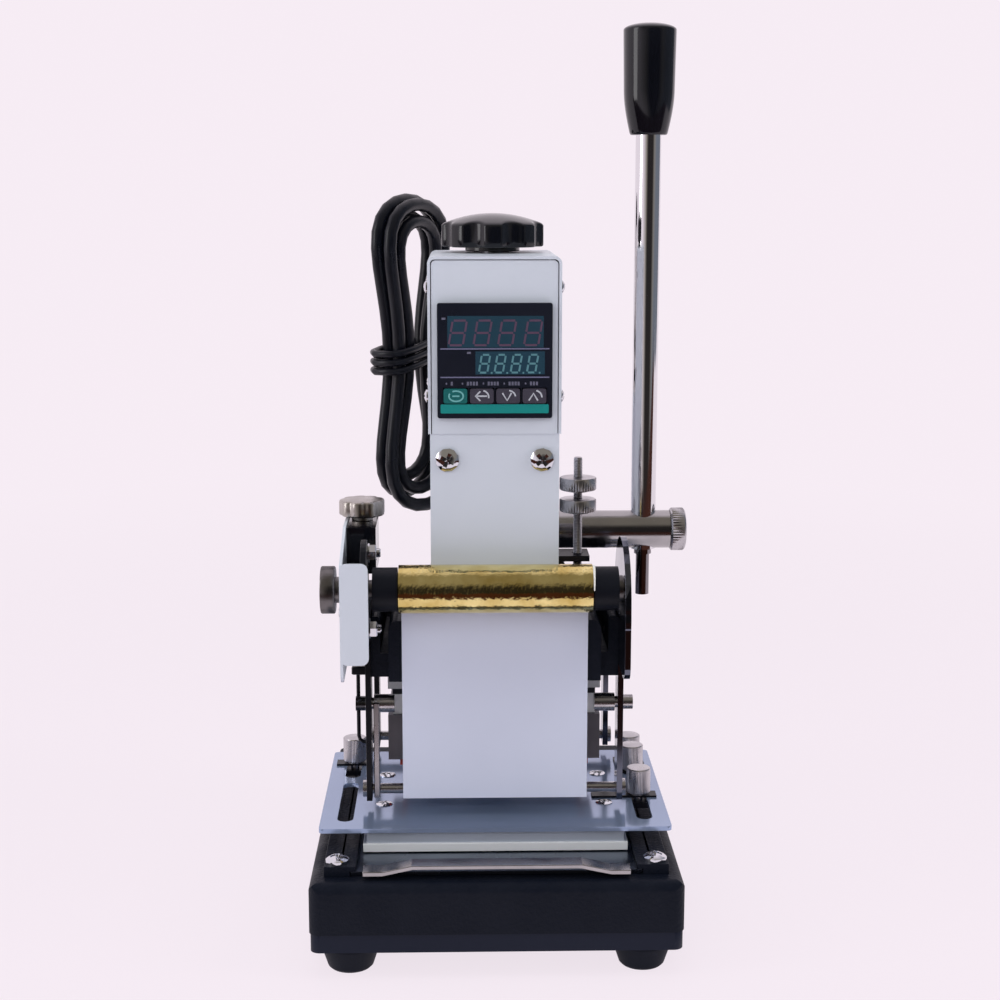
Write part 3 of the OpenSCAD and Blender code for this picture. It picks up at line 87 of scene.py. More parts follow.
# %% Shape of one loop
CORD_D = 6.3
LOOPS = 4
TURN = math.radians(60)
ACROSS = Vector((math.cos(TURN), math.sin(TURN), 0))
THROUGH = Vector((-math.sin(TURN), math.cos(TURN), 0))
UP = Vector((0, 0, 1))
HANK_AT = Vector((-37.2, 64, 247))
BELLY, BELLY_STEP = 34, 14.5
WAIST, WAIST_STEP = 5, 8.2
HANK_H, HANK_H_STEP = 60, 8
LAYER, LEAD_IN = 6.9, 5
belly_out = BELLY + BELLY_STEP * LOOPS / 2
waist_out = WAIST + WAIST_STEP * LOOPS / 2
start_angle = -math.acos(math.sqrt(belly_out / (3 * (belly_out - waist_out))))
print("outer loop:", belly_out * 2, "mm wide at the belly")

# %% Points of the hank
LOOP_POINTS = 40
CLIMB, SETTLE = 0.25, 0.35  # of a turn: to change layer, and to join the first layer


def ease(x):
    k = min(1, max(0, x))
    return k * k * (3 - 2 * k)


def hank_point(t):
    half = LOOPS / 2
    room = half - (t if t < half else LOOPS - t)
    a = start_angle - 2 * math.pi * t
    belly = BELLY + BELLY_STEP * room
    waist = WAIST + WAIST_STEP * room
    across = math.cos(a) * (belly - (belly - waist) * math.cos(a) ** 2)
    layer = LAYER * (ease((t - half) / CLIMB + 0.5) - 0.5) - LEAD_IN * (1 - ease(t / SETTLE))
    height = (HANK_H + HANK_H_STEP * room) * math.sin(a)
    return HANK_AT + across * ACROSS + layer * THROUGH + height * UP


hank = [hank_point(i / LOOP_POINTS) for i in range(LOOPS * LOOP_POINTS + 1)]
print("hank:", LOOPS, "loops,", len(hank), "points")

# %% Route from the gland to the plug
GLAND_Y, GLAND_Z, PLUG_TOP = 37, 232, 141
BEND_STEPS, TAIL_STEPS = 12, 4
first = hank[0] + CORD_D * UP
last = hank[-1] - CORD_D * UP
end = first + CORD_D * UP
bend = GLAND_Z - end.z
route = [Vector((first.x, y, GLAND_Z)) for y in (GLAND_Y, GLAND_Y + CORD_D)]
for step in range(BEND_STEPS + 1):
    a = math.radians(90 - 90 / BEND_STEPS * step)
    route.append(Vector((end.x, end.y - bend + bend * math.cos(a), end.z + bend * math.sin(a))))
route += [first] + hank
route += [last + (PLUG_TOP - last.z) * k / TAIL_STEPS * UP for k in range(TAIL_STEPS + 1)]

# %% The lead as a bevelled curve
BODY = "base"


def link(obj, body=BODY):
    scene.collection.objects.link(obj)
    if body:
        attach(obj, body)
    return obj


def tube_curve(name, points, diameter, body=BODY):
    curve = bpy.data.curves.new(name, "CURVE")
    curve.dimensions = "3D"
    curve.bevel_depth = 1
    curve.bevel_resolution = 5
    curve.use_fill_caps = True
    spline = curve.splines.new("POLY")
    spline.points.add(len(points) - 1)
    for p, at in zip(spline.points, points):
        p.co = (*(at * MM), 1)
        p.radius = diameter / 2 * MM
    spline.use_smooth = True
    return link(bpy.data.objects.new(name, curve), body)


lead = tube_curve("mains_lead", route, CORD_D)
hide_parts("cord_lead", "cord_hank", "cord_tail")
print("lead:", CORD_D, "mm thick")

# %% [markdown]
# The hank is held by a few turns of the lead's own tie, wrapped round the waist. A helix on a rounded
# rectangle gives the wrap, a little slanted as a hand would wind it.

# %% Tie round the waist
TIE_D, TIE_TURNS, TIE_PITCH, TIE_SLANT = 3.4, 3, 4.2, 0.12
TIE_HALF, TIE_CORNER, TIE_STEPS = (27, 9.3), 5, 36
TIE_END_STEP, TIE_END_POINTS = Vector((-0.6, -1.2, 1.6)), 4


def round_rect_point(half_long, half_short, a, power):
    c, s = math.cos(a), math.sin(a)
    r = (abs(c / half_long) ** power + abs(s / half_short) ** power) ** (-1 / power)
    return r * c, r * s


tie_points = []
for i in range(TIE_TURNS * TIE_STEPS + 1):
    u, n = round_rect_point(*TIE_HALF, i / TIE_STEPS * 2 * math.pi, TIE_CORNER)
    rise = (i / TIE_STEPS - TIE_TURNS / 2) * TIE_PITCH + TIE_SLANT * u
    tie_points.append(HANK_AT + u * ACROSS + n * THROUGH + rise * UP)
for i in range(TIE_END_POINTS):
    tie_points.append(tie_points[-1] + TIE_END_STEP)
tie = tube_curve("lead_tie", tie_points, TIE_D)
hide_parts("cord_tie")
print("tie:", TIE_TURNS, "turns")

# %% [markdown]
# ## Floor, light and room
# The machine stands on a pale, slightly pink sheet that runs up behind it in one sweep, so that no
# horizon shows. A side view of the sheet is enough to make it: each point of that profile becomes a pair
# of points, one at each end of the sheet, and faces join the pairs.

# %% Floor sheet
WELD_REACH, CREASE = 1e-7, 38


def mesh_object(name, verts, faces, body=BODY):
    mesh = bpy.data.meshes.new(name)
    mesh.from_pydata([tuple(v) for v in verts], [], faces)
    welded = bmesh.new()
    welded.from_mesh(mesh)
    bmesh.ops.remove_doubles(welded, verts=welded.verts, dist=WELD_REACH)
    welded.to_mesh(mesh)
    welded.free()
    mesh.update()
    for polygon in mesh.polygons:
        polygon.use_smooth = True
    mesh.set_sharp_from_angle(angle=math.radians(CREASE))
    return link(bpy.data.objects.new(name, mesh), body)


SHEET_W, SHEET_FRONT, SHEET_TOP = 9.0, -1.0, 3.0
SWEEP_FROM, SWEEP_R, SWEEP_STEPS = 0.9, 0.8, 12
sheet_profile = [(SHEET_FRONT, 0), (SWEEP_FROM, 0)]
for i in range(1, SWEEP_STEPS + 1):
    a = math.radians(90 * i / SWEEP_STEPS)
    sheet_profile.append((SWEEP_FROM + SWEEP_R * math.sin(a), SWEEP_R - SWEEP_R * math.cos(a)))
sheet_profile.append((SWEEP_FROM + SWEEP_R, SHEET_TOP))
verts = [(x * SHEET_W / 2, y, z) for y, z in sheet_profile for x in (-1, 1)]
faces = [(2 * i, 2 * i + 1, 2 * i + 3, 2 * i + 2) for i in range(len(sheet_profile) - 1)]
floor = mesh_object("floor_sheet", verts, faces, body=None)
print("floor sheet:", SHEET_W, "m wide")

# %% [markdown]
# A material is a network of nodes, and wiring one takes many lines. The first two helpers here feed a
# node's inputs, each with another node's output or a plain value. The others place one node each and
# give back its output, so that a material reads like a sum.

# %% Node helpers
def feed(tree, node, values):
    """Link each value that is another node's output, and write each plain one on its input."""
    for label, value in values.items():
        if isinstance(value, bpy.types.NodeSocket):
            tree.links.new(value, node.inputs[label])
        else:
            node.inputs[label].default_value = value
    return node


def add_node(tree, kind, values, **settings):
    node = tree.nodes.new(kind)
    for name, setting in settings.items():
        setattr(node, name, setting)
    return feed(tree, node, values)


def combine(tree, operation, a, b):
    return add_node(tree, "ShaderNodeMath", {0: a, 1: b}, operation=operation).outputs[0]


def vector_math(tree, operation, a, b, output="Vector"):
    return add_node(tree, "ShaderNodeVectorMath", {0: a, 1: b}, operation=operation).outputs[output]


def mapped(tree, value, start, stop, low=0, high=1):
    """Low up to the start of a range, high beyond its end, and a slope between."""
    return add_node(tree, "ShaderNodeMapRange", {"Value": value, "From Min": start, "From Max": stop,
                                                 "To Min": low, "To Max": high}).outputs["Result"]


def mixed_colour(tree, factor, a, b):
    values = {"Factor": factor, "A": a, "B": b}
    return add_node(tree, "ShaderNodeMix", values, data_type="RGBA").outputs["Result"]


def show_mix(tree, factor, first, second, output):
    """Two shaders mixed by a factor and led to the output node."""
    mix = add_node(tree, "ShaderNodeMixShader", {0: factor, 1: first.outputs[0], 2: second.outputs[0]})
    add_node(tree, output, {"Surface": mix.outputs[0]})


# %% [markdown]
# A sheet like this is lit so evenly in a studio that it has almost no shading of its own. So most of what
# the camera and the polished metal see of it is its own pale colour, and the rest is lit floor that keeps
# the shadow. A metre away no shadow falls, so there the sheet is all its own colour and runs into the
# room without a seam. In front of the table's edge and far to the right, the sheet has painted
# reflections: dark brown and dim blue-grey, seen only by polished metal. They light nothing.

# %% Sheet material
PALE = (0.925, 0.842, 0.908, 1)
# Painted reflections: dark colours of the sheet that only polished metal sees.
PAINTED_BROWN_REFLECTION = (0.060, 0.022, 0.016, 1)
PAINTED_RIGHT_REFLECTION = (0.17, 0.19, 0.23, 1)
OWN_COLOUR, SHADOW_ZONE = 0.88, (0.45, 1.1)
TABLE_EDGE_Y, RIGHT_SIDE_X, EDGE_BLUR = -0.28, 2.5, 0.02
POLISHED = ("Is Glossy Ray", "Is Transmission Ray")


def seen_rays(tree, kinds=("Is Camera Ray", *POLISHED)):
    """One where the ray is of one of these kinds, and zero for other light."""
    path = tree.nodes.new("ShaderNodeLightPath")
    answer = path.outputs[kinds[0]]
    for kind in kinds[1:]:
        answer = combine(tree, "MAXIMUM", answer, path.outputs[kind])
    return answer


def emptied(owner):
    owner.use_nodes = True
    owner.node_tree.nodes.clear()
    return owner.node_tree


sheet = bpy.data.materials.new("pale_sheet")
tree = emptied(sheet)
place = tree.nodes.new("ShaderNodeTexCoord").outputs["Object"]
axes = add_node(tree, "ShaderNodeSeparateXYZ", {"Vector": place})
away = vector_math(tree, "DISTANCE", place, (0, 0, 0), "Value")
own_share = combine(tree, "MULTIPLY", seen_rays(tree), mapped(tree, away, *SHADOW_ZONE, OWN_COLOUR, 1))
sheet_colour = PALE
# Beyond the table's edge and far to the right, polished rays see painted reflections.
for axis, start, stop, colour in (("Y", TABLE_EDGE_Y, TABLE_EDGE_Y - EDGE_BLUR, PAINTED_BROWN_REFLECTION),
                                  ("X", RIGHT_SIDE_X, RIGHT_SIDE_X + EDGE_BLUR, PAINTED_RIGHT_REFLECTION)):
    beyond = mapped(tree, axes.outputs[axis], start, stop)
    hidden = combine(tree, "MULTIPLY", beyond, seen_rays(tree, POLISHED))
    sheet_colour = mixed_colour(tree, hidden, sheet_colour, colour)
    own_share = combine(tree, "MAXIMUM", own_share, hidden)
lit = add_node(tree, "ShaderNodeBsdfDiffuse", {"Color": PALE})
own = add_node(tree, "ShaderNodeEmission", {"Color": sheet_colour})
show_mix(tree, own_share, lit, own, "ShaderNodeOutputMaterial")
floor.data.materials.append(sheet)
print("sheet: share of its own colour", OWN_COLOUR)

# %% [markdown]
# Chrome has no look of its own: it shows the room. The room is pale at the left and behind. At the right
# and in front above it is painted dim, and behind the camera dark, for polished metal only: painted
# reflections, while every other surface is lit by an even room. So a polished bar gets a bright left
# edge, a dark middle and a grey right edge. The lamps are large and soft: one above, one at each side,
# and a fill from the front for the white paint. Only the left one shows in polished metal.

# %% Room
# Painted reflections: tones of the room that only polished metal sees.
PAINTED_FRONT_REFLECTION = (0.26, 0.235, 0.20, 1)
PAINTED_DARK_REFLECTION = (0.025, 0.022, 0.022, 1)
ROOM_LIGHT, ROOM_STRENGTH = (0.86, 0.86, 0.92, 1), 0.36
world = bpy.data.worlds.new("pale_room")
scene.world = world
tree = emptied(world)
heading = tree.nodes.new("ShaderNodeTexCoord").outputs["Generated"]
tone = PALE
# Only polished rays get these darker tones; all other light comes from the even ROOM_LIGHT.
for direction, start, stop, colour in (((1, -0.05, 0.05), 0.30, 0.75, PAINTED_RIGHT_REFLECTION),
                                       ((0.15, -0.80, 0.58), 0.40, 0.72, PAINTED_FRONT_REFLECTION),
                                       ((0.26, -0.96, 0.05), 0.80, 0.93, PAINTED_DARK_REFLECTION)):
    facing = mapped(tree, vector_math(tree, "DOT_PRODUCT", heading, direction, "Value"), start, stop)
    tone = mixed_colour(tree, combine(tree, "MULTIPLY", facing, seen_rays(tree, POLISHED)), tone, colour)
seen = add_node(tree, "ShaderNodeBackground", {"Color": tone})
room = add_node(tree, "ShaderNodeBackground", {"Color": ROOM_LIGHT, "Strength": ROOM_STRENGTH})
show_mix(tree, seen_rays(tree), room, seen, "ShaderNodeOutputWorld")
print("room strength:", ROOM_STRENGTH)

# %% Lamps
LAMP_AIM = Vector((0, 0, 0.2))


def area_lamp(name, at, size, watts, in_metal=False):
    data = bpy.data.lights.new(name, "AREA")
    data.shape = "RECTANGLE"
    data.size, data.size_y = size
    data.energy = watts
    lamp = bpy.data.objects.new(name, data)
    lamp.location = at
    lamp.rotation_euler = (LAMP_AIM - Vector(at)).to_track_quat("-Z", "Y").to_euler()
    lamp.visible_glossy = in_metal
    scene.collection.objects.link(lamp)


area_lamp("left_box", (-1.25, -0.45, 0.70), (0.5, 1.1), 5, in_metal=True)
area_lamp("overhead", (-0.1, -0.1, 1.7), (1.3, 1.0), 9)
area_lamp("right_box", (1.25, -0.40, 0.70), (0.5, 1.1), 6.5)
area_lamp("front_fill", (-0.3, -1.7, 1.0), (1.6, 1.0), 10)

# %% [markdown]
# ## Shared surface effects
# Real finishes are never one flat value. A shader node group is a small machine that is built once and
# placed in many materials, each with its own numbers. The first one here gives two noises: a fine
# grain for bump, and a broad mottle for colour and gloss. The second gives long fine lines, as a brush
# or a grinding wheel leaves them. The third is one inside a box of space, for a band of another colour;
# some of these bands are painted shade and painted highlight.

# %% Node group: grain and mottle
FLOAT, VECTOR = "NodeSocketFloat", "NodeSocketVector"
NOISE_LOW, NOISE_HIGH = 0.3, 0.7


def new_group(name, inputs, outputs):
    group = bpy.data.node_groups.new(name, "ShaderNodeTree")
    for label, kind in inputs.items():
        group.interface.new_socket(label, in_out="INPUT", socket_type=kind)
    for label in outputs:
        group.interface.new_socket(label, in_out="OUTPUT", socket_type=FLOAT)
    return group, group.nodes.new("NodeGroupInput"), group.nodes.new("NodeGroupOutput")


def noise(tree, vector, scale, detail):
    values = {"Vector": vector, "Scale": scale, "Detail": detail}
    return add_node(tree, "ShaderNodeTexNoise", values).outputs["Fac"]


grain_group, g_in, g_out = new_group(
    "grain_and_mottle", {"Vector": VECTOR, "Grain Scale": FLOAT, "Mottle Scale": FLOAT},
    ["Grain", "Mottle"])
for label, detail in (("Grain", 3), ("Mottle", 5)):
    grey = noise(grain_group, g_in.outputs["Vector"], g_in.outputs[label + " Scale"], detail)
    feed(grain_group, g_out, {label: mapped(grain_group, grey, NOISE_LOW, NOISE_HIGH)})
print("group:", grain_group.name)

# %% Node group: brushed lines
LINE_DETAIL = 4
lines_group, g_in, g_out = new_group("brushed_lines", {"Vector": VECTOR, "Stretch": VECTOR}, ["Lines"])
stretched = vector_math(lines_group, "MULTIPLY", g_in.outputs["Vector"], g_in.outputs["Stretch"])
feed(lines_group, g_out, {"Lines": noise(lines_group, stretched, 1, LINE_DETAIL)})
print("group:", lines_group.name)

# %% Node group: box of space
ZONE_BLUR = 0.3
zone_group, g_in, g_out = new_group(
    "box_of_space", {"Vector": VECTOR, "Low": VECTOR, "High": VECTOR}, ["Mask"])
over = vector_math(zone_group, "SUBTRACT", g_in.outputs["Vector"], g_in.outputs["Low"])
under = vector_math(zone_group, "SUBTRACT", g_in.outputs["High"], g_in.outputs["Vector"])
least = vector_math(zone_group, "MINIMUM", over, under)
apart = add_node(zone_group, "ShaderNodeSeparateXYZ", {"Vector": least})
inside = apart.outputs["X"]
for axis in ("Y", "Z"):
    inside = combine(zone_group, "MINIMUM", inside, apart.outputs[axis])
feed(zone_group, g_out, {"Mask": mapped(zone_group, inside, 0, ZONE_BLUR * MM)})
print("group:", zone_group.name)

# %% [markdown]
# ## Finishes
# One function builds every finish from the same plan: the mottle moves the colour and the gloss a
# little, and the grain or the brushed lines feed a bump. What is the same all over, such as metal or
# not, is set on the shader itself. A zone may take a second colour inside a box, in millimetres.

# %% Function: finish
DARKER = 0.85


def use_group(tree, group, vector, values):
    return add_node(tree, "ShaderNodeGroup", {"Vector": vector, **values}, node_tree=group).outputs


def finish(name, colour, other=None, rough=(0.3, 0.4), metallic=0.0, grain=900, mottle=25, bump=0.1,
           depth=0.05, lines=None, coat=0.0, specular=0.5, zone=None):
    material = bpy.data.materials.new(name)
    material.use_nodes = True
    tree = material.node_tree
    at = tree.nodes.new("ShaderNodeTexCoord").outputs["Object"]
    noises = use_group(tree, grain_group, at, {"Grain Scale": grain, "Mottle Scale": mottle})
    height, gloss = noises["Grain"], noises["Mottle"]
    tone = mixed_colour(tree, gloss, (*colour, 1), (*(other or [DARKER * c for c in colour]), 1))
    if lines:
        height = gloss = use_group(tree, lines_group, at, {"Stretch": lines})["Lines"]
    if zone:
        low, high, second = zone
        box = use_group(tree, zone_group, at, {"Low": Vector(low) * MM, "High": Vector(high) * MM})
        tone = mixed_colour(tree, box["Mask"], tone, (*second, 1))
    relief = {"Strength": bump, "Distance": depth * MM, "Height": height}
    normal = add_node(tree, "ShaderNodeBump", relief).outputs["Normal"]
    feed(tree, tree.nodes["Principled BSDF"], {
        "Base Color": tone, "Roughness": mapped(tree, gloss, 0, 1, *rough), "Metallic": metallic,
        "Coat Weight": coat, "Specular IOR Level": specular, "Normal": normal})
    return material


# %% Function: paint
def paint(material, *objects):
    for obj in objects:
        obj.data.materials.clear()
        obj.data.materials.append(material)


# %% [markdown]
# The painted parts: white powder coat has a faint orange peel; the black casting has a coarse crinkle
# that breaks its highlights up; flat black parts are smoother, and the mouldings smoother still.

# %% Paint
POWDER = dict(rough=(0.30, 0.40), grain=1400, bump=0.12, depth=0.04, specular=0.4)
white_coat = finish("white_powder_coat", (0.615, 0.655, 0.725), (0.595, 0.635, 0.705), **POWDER)
guard_coat = finish("guard_powder_coat", (0.625, 0.665, 0.795), (0.605, 0.645, 0.775), **POWDER)
black_cast = finish("black_crinkle_paint", (0.0035, 0.0055, 0.012), (0.007, 0.009, 0.016),
                    rough=(0.42, 0.6), grain=700, mottle=60, bump=0.5, depth=0.25, specular=0.14)
dark_plate = finish("dark_satin_paint", (0.005, 0.008, 0.020), (0.009, 0.012, 0.025),
                    rough=(0.4, 0.55), grain=1200, bump=0.2, specular=0.2)
black_satin = finish("black_satin_paint", (0.003, 0.0035, 0.006), (0.006, 0.0065, 0.010),
                     rough=(0.22, 0.36), grain=1500, bump=0.12, specular=0.25)
print("paints:", white_coat.name, guard_coat.name, black_cast.name, dark_plate.name, black_satin.name)

# %% Mouldings and rubber
black_gloss = finish("black_gloss_moulding", (0.003, 0.0035, 0.006), (0.006, 0.0065, 0.010),
                     rough=(0.10, 0.18), grain=500, bump=0.04, coat=0.25, specular=0.3)
black_matt = finish("black_core_moulding", (0.003, 0.004, 0.008), (0.006, 0.007, 0.011),
                    rough=(0.35, 0.5), grain=1600, bump=0.15, specular=0.18)
sheath = finish("lead_sheath", (0.003, 0.004, 0.008), (0.006, 0.007, 0.011), rough=(0.26, 0.4),
                grain=1800, bump=0.12, specular=0.3)
foot_rubber = finish("foot_rubber", (0.004, 0.006, 0.013), (0.007, 0.009, 0.016), rough=(0.5, 0.7),
                     grain=1500, bump=0.3, specular=0.15)
print("mouldings:", black_gloss.name, black_matt.name, sheath.name, foot_rubber.name)

# %% Heater stack and paper
# The pad's bottom millimetre is the grey die plate under it, painted lighter than that metal: painted
# bounce light.
silicone = finish("red_silicone", (0.40, 0.030, 0.020), (0.33, 0.028, 0.020), rough=(0.45, 0.6),
                  zone=((-40, -38, 71), (40, 14, 72), (0.30, 0.40, 0.46)))
# Its top band is painted near black: painted shade of the gap under the carrier plate.
board = finish("insulating_board", (0.88, 0.89, 0.91), (0.82, 0.83, 0.85), rough=(0.6, 0.8), grain=500,
               bump=0.2, zone=((-60, -60, 104.5), (60, 60, 108), (0.015, 0.017, 0.024)))
carrier_white = finish("white_carrier_paint", (0.82, 0.83, 0.87), rough=(0.35, 0.5), grain=1200)
paper = finish("roll_paper", (0.80, 0.79, 0.76), (0.74, 0.73, 0.70), rough=(0.7, 0.85), grain=600,
               bump=0.25)
print("stack:", silicone.name, board.name, carrier_white.name, paper.name)

# %% [markdown]
# The metals. Chrome and the polished plate are almost mirrors; nickel is softer and warmer; milled
# aluminium carries fine lines from the cutter; the foil is a thin wrinkled gold film.

# %% Polished and plated metals
POLISH = dict(metallic=1, mottle=40, bump=0.02)
PLATED = dict(metallic=1, mottle=120, bump=0.05)
mirror = finish("mirror_chrome", (0.74, 0.75, 0.79), (0.70, 0.71, 0.75), rough=(0.04, 0.12), grain=300,
                **POLISH)
rod_chrome = finish("rod_chrome", (0.80, 0.79, 0.81), (0.76, 0.75, 0.77), rough=(0.04, 0.12),
                    zone=((55, -15, 130), (85, 25, 161), (0.24, 0.225, 0.24)), **POLISH)
dark_mirror = finish("dark_mirror", (0.15, 0.16, 0.20), (0.12, 0.13, 0.17), rough=(0.06, 0.14), **POLISH)
nickel = finish("nickel_plate", (0.60, 0.585, 0.60), (0.50, 0.485, 0.50), rough=(0.24, 0.36), **PLATED)
rod_nickel = finish("guide_nickel", (0.60, 0.585, 0.60), (0.50, 0.485, 0.50), rough=(0.2, 0.32),
                    zone=((-66, -56, 96), (-56.4, -40, 112), (0.085, 0.085, 0.095)), **PLATED)
warm_nickel = finish("warm_nickel_plate", (0.52, 0.49, 0.46), (0.42, 0.39, 0.36), rough=(0.26, 0.38),
                     **PLATED)
dark_nickel = finish("dark_nickel_plate", (0.21, 0.20, 0.20), (0.16, 0.15, 0.15), rough=(0.26, 0.4),
                     **PLATED)
print("plated:", mirror.name, rod_chrome.name, nickel.name, warm_nickel.name, dark_nickel.name)

# %% Bare metals and foil
bright_steel = finish("bright_steel", (0.56, 0.57, 0.61), (0.50, 0.51, 0.55), rough=(0.18, 0.32),
                      metallic=1, mottle=60, bump=0.03)
shaft_steel = finish("drawn_steel", (0.46, 0.445, 0.45), (0.38, 0.37, 0.375), rough=(0.12, 0.24),
                     metallic=1, mottle=60, bump=0.04)
table_mirror = finish("polished_table", (0.35, 0.43, 0.625), (0.315, 0.395, 0.575), rough=(0.09, 0.17),
                      metallic=0.55, bump=0.03, lines=(40, 2500, 2500))
# The front lip is painted near white: a painted highlight along the lip.
milled_alu = finish("milled_aluminium", (0.46, 0.50, 0.59), (0.42, 0.46, 0.54), rough=(0.3, 0.46),
                    metallic=0.3, bump=0.06, lines=(60, 4000, 4000),
                    zone=((-80, -76, 40), (80, -73.1, 52), (0.96, 0.98, 1.0)))
tray_steel = finish("blued_tray", (0.16, 0.19, 0.25), (0.13, 0.155, 0.205), rough=(0.2, 0.34), metallic=1,
                    bump=0.04)
cast_alu = finish("cast_heater", (0.22, 0.21, 0.23), (0.16, 0.155, 0.17), rough=(0.4, 0.6), metallic=0.8,
                  grain=500, bump=0.25)
bronze = finish("turned_bronze", (0.55, 0.37, 0.16), (0.48, 0.31, 0.13), rough=(0.25, 0.4), metallic=1)
gold = finish("gold_film", (0.92, 0.785, 0.36), (0.62, 0.46, 0.14), rough=(0.05, 0.12), metallic=1,
              mottle=90, bump=0.85, depth=0.3, lines=(450, 330, 330))
print("bare:", bright_steel.name, table_mirror.name, cast_alu.name, bronze.name, gold.name)

# %% [markdown]
# ## Turned pieces
# Screws, knobs and nuts are turned on a lathe, and the same idea makes them here: rings of points are
# stacked along an axis and joined by quads. A ring of one point closes an end. Knurling is a ring whose
# every second point lies a little deeper, so the ridges are real shape and not only a bump.

# %% Rings joined by faces
def new_shape():
    return {"verts": [], "faces": []}


def placed(at, axis=(0, 0, 1), spin=0.0):
    """From a piece's own millimetres, along its own Z, to its place in the frame."""
    turn = Vector((0, 0, 1)).rotation_difference(Vector(axis)).to_matrix().to_4x4()
    spin = Matrix.Rotation(math.radians(spin), 4, "Z")
    return Matrix.Translation(Vector(at) * MM) @ turn @ spin @ Matrix.Scale(MM, 4)


def add_rings(shape, place, rings):
    starts = []
    for ring in rings:
        starts.append(len(shape["verts"]))
        shape["verts"] += [place @ Vector(p) for p in ring]
    for a, b, low, high in zip(starts, starts[1:], rings, rings[1:]):
        count = max(len(low), len(high))
        for i in range(count):
            j = (i + 1) % count
            corners = [a + i % len(low), a + j % len(low), b + j % len(high), b + i % len(high)]
            shape["faces"].append(list(dict.fromkeys(corners)))


def shape_object(name, shape, material, body=BODY, replaced=()):
    obj = mesh_object(name, shape["verts"], shape["faces"], body)
    paint(material, obj)
    if replaced:
        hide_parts(*replaced)
    print(name + ":", len(shape["faces"]), "faces")
    return obj


# %% Lathe
def polar(r, a, z):
    return r * math.cos(a), r * math.sin(a), z


def around(count):
    return [2 * math.pi * i / count for i in range(count)]


def add_lathe(shape, place, profile, segments, knurl=0.0):
    """A turned shape from radius and height; a third value marks a ring that is knurled."""
    rings = []
    for r, z, *ridged in profile:
        cuts = (0, knurl if ridged else 0)
        ring = [polar(r - cuts[i % 2], a, z) for i, a in enumerate(around(segments))]
        rings.append(ring if r else [(0, 0, z)])
    add_rings(shape, place, rings)


# %% [markdown]
# ## Screws
# Every screw has a domed head with a cross recess for the driver. The head is made of rings again, but
# the points of each ring keep to the two edges of the recess, so its walls stay straight and sharp. The
# shanks go into the solids and stay hidden.

# %% Screw head with a cross recess
RIM, DEEP = 0.4, 0.5  # of the head's height
ARM, REACH = 0.075, 0.30  # of the head's width
WALL, WIDEST = 0.05, 0.62  # slant of the recess walls, and the widest an arm gets on its ring


def add_screw(shape, at, axis, size, length, spin):
    head_d, head_h, shank_d = size
    radius, rim = head_d / 2, RIM * head_h
    arm, reach, deep = ARM * head_d, REACH * head_d, DEEP * head_h
    levels = [(radius, 0, 0), (radius, rim, 0)]
    levels += [(share * radius, None, 0) for share in (0.96, 0.86, 0.74)]
    levels += [(1.05 * reach, None, 0), (reach, None, 0.55 * deep), (0.75 * reach, None, 0.8 * deep),
               (1.7 * arm, None, deep)]
    rings = [[(0, 0, 0)]]
    for r, z, cut in levels:
        top = rim + (head_h - rim) * (1 - (r / radius) ** 2) if z is None else z
        half = math.asin(min(WIDEST, arm / r))
        points = [(-half - WALL, top), (-half, top - cut), (half, top - cut), (half + WALL, top),
                  (math.pi / 4, top)]
        rings.append([polar(r, quarter + off, height) for quarter in around(4) for off, height in points])
    rings.append([(0, 0, head_h - deep)])
    add_rings(shape, placed(at, axis, spin), rings)
    r = shank_d / 2
    shank = [(0, -length), (r - 0.4, -length), (r, 0.5 - length), (r, 0.2), (0, 0.2)]
    add_lathe(shape, placed(at, axis), shank, 16)


# %% Pan-head screws of the machine
RIGHT, LEFT, FORWARD, DOWN, ABOVE = (1, 0, 0), (-1, 0, 0), (0, -1, 0), (0, 0, -1), (0, 0, 1)
PAN_SIZE = (10, 3.2, 5)  # head width, head height, shank
pan_places = []
for side in (-1, 1):
    pan_places += [((side * 62, y, 5.5), DOWN, 24.5) for y in (-89, 89)]
    pan_places += [((side * 67, y, 46.5), ABOVE, 10.5) for y in (-90, 36)]
    pan_places += [((side * 24, y, 52), ABOVE, 16) for y in (54, 91)]
    pan_places += [((side * 20, -60, 213), FORWARD, 11.5)]
    pan_places += [((side * 18, y, 121.1), DOWN, 33.9) for y in (-42, 13)]
pan_shape = new_shape()
for turn, (at, axis, length) in enumerate(pan_places):
    add_screw(pan_shape, at, axis, PAN_SIZE, length, 25 + 37 * turn)
shape_object("pan_screws", pan_shape, mirror, replaced=["pan_head_screws"])

# %% Small screws
SMALL_SIZE, COVER_SIZE = (5.6, 1.8, 3), (8.4, 2.8, 3)
small_places = []
for side, out_axis in ((-1, LEFT), (1, RIGHT)):
    small_places += [((side * 28, y, z), out_axis, 4) for y in (-51, 4) for z in (239, 285)]
    small_places += [((side * 56.3, y, 131.55), out_axis, 6.7) for y in (-30, 4)]
small_places += [((-64.6, -35, 136), LEFT, 10.8)]
small_places += [((29.75, y, 162.2), RIGHT, 10) for y in (-43, -33)]
small_shape = new_shape()
for turn, (at, axis, length) in enumerate(small_places):
    add_screw(small_shape, at, axis, SMALL_SIZE, length, 10 + 41 * turn)
add_screw(small_shape, (-64.6, -55, 146), LEFT, COVER_SIZE, 10.8, 40)
shape_object("fine_screws", small_shape, mirror, replaced=["small_screws"])

# %% Countersunk screws that hold the plate to its block
SUNK_SIZE = (7.5, 0.9, 4)
plate_shape = new_shape()
for x in (-49, 49):
    for turn, y in enumerate((-45, -6)):
        add_screw(plate_shape, (x, y, 55.3), ABOVE, SUNK_SIZE, 4, 30 + 50 * turn + x)
shape_object("plate_screws", plate_shape, mirror, "table")

# %% [markdown]
# ## Knurled nuts and thumb-screws
# These are the pieces that fingers turn, so their rims are cut with fine ridges. All are nickel plated.

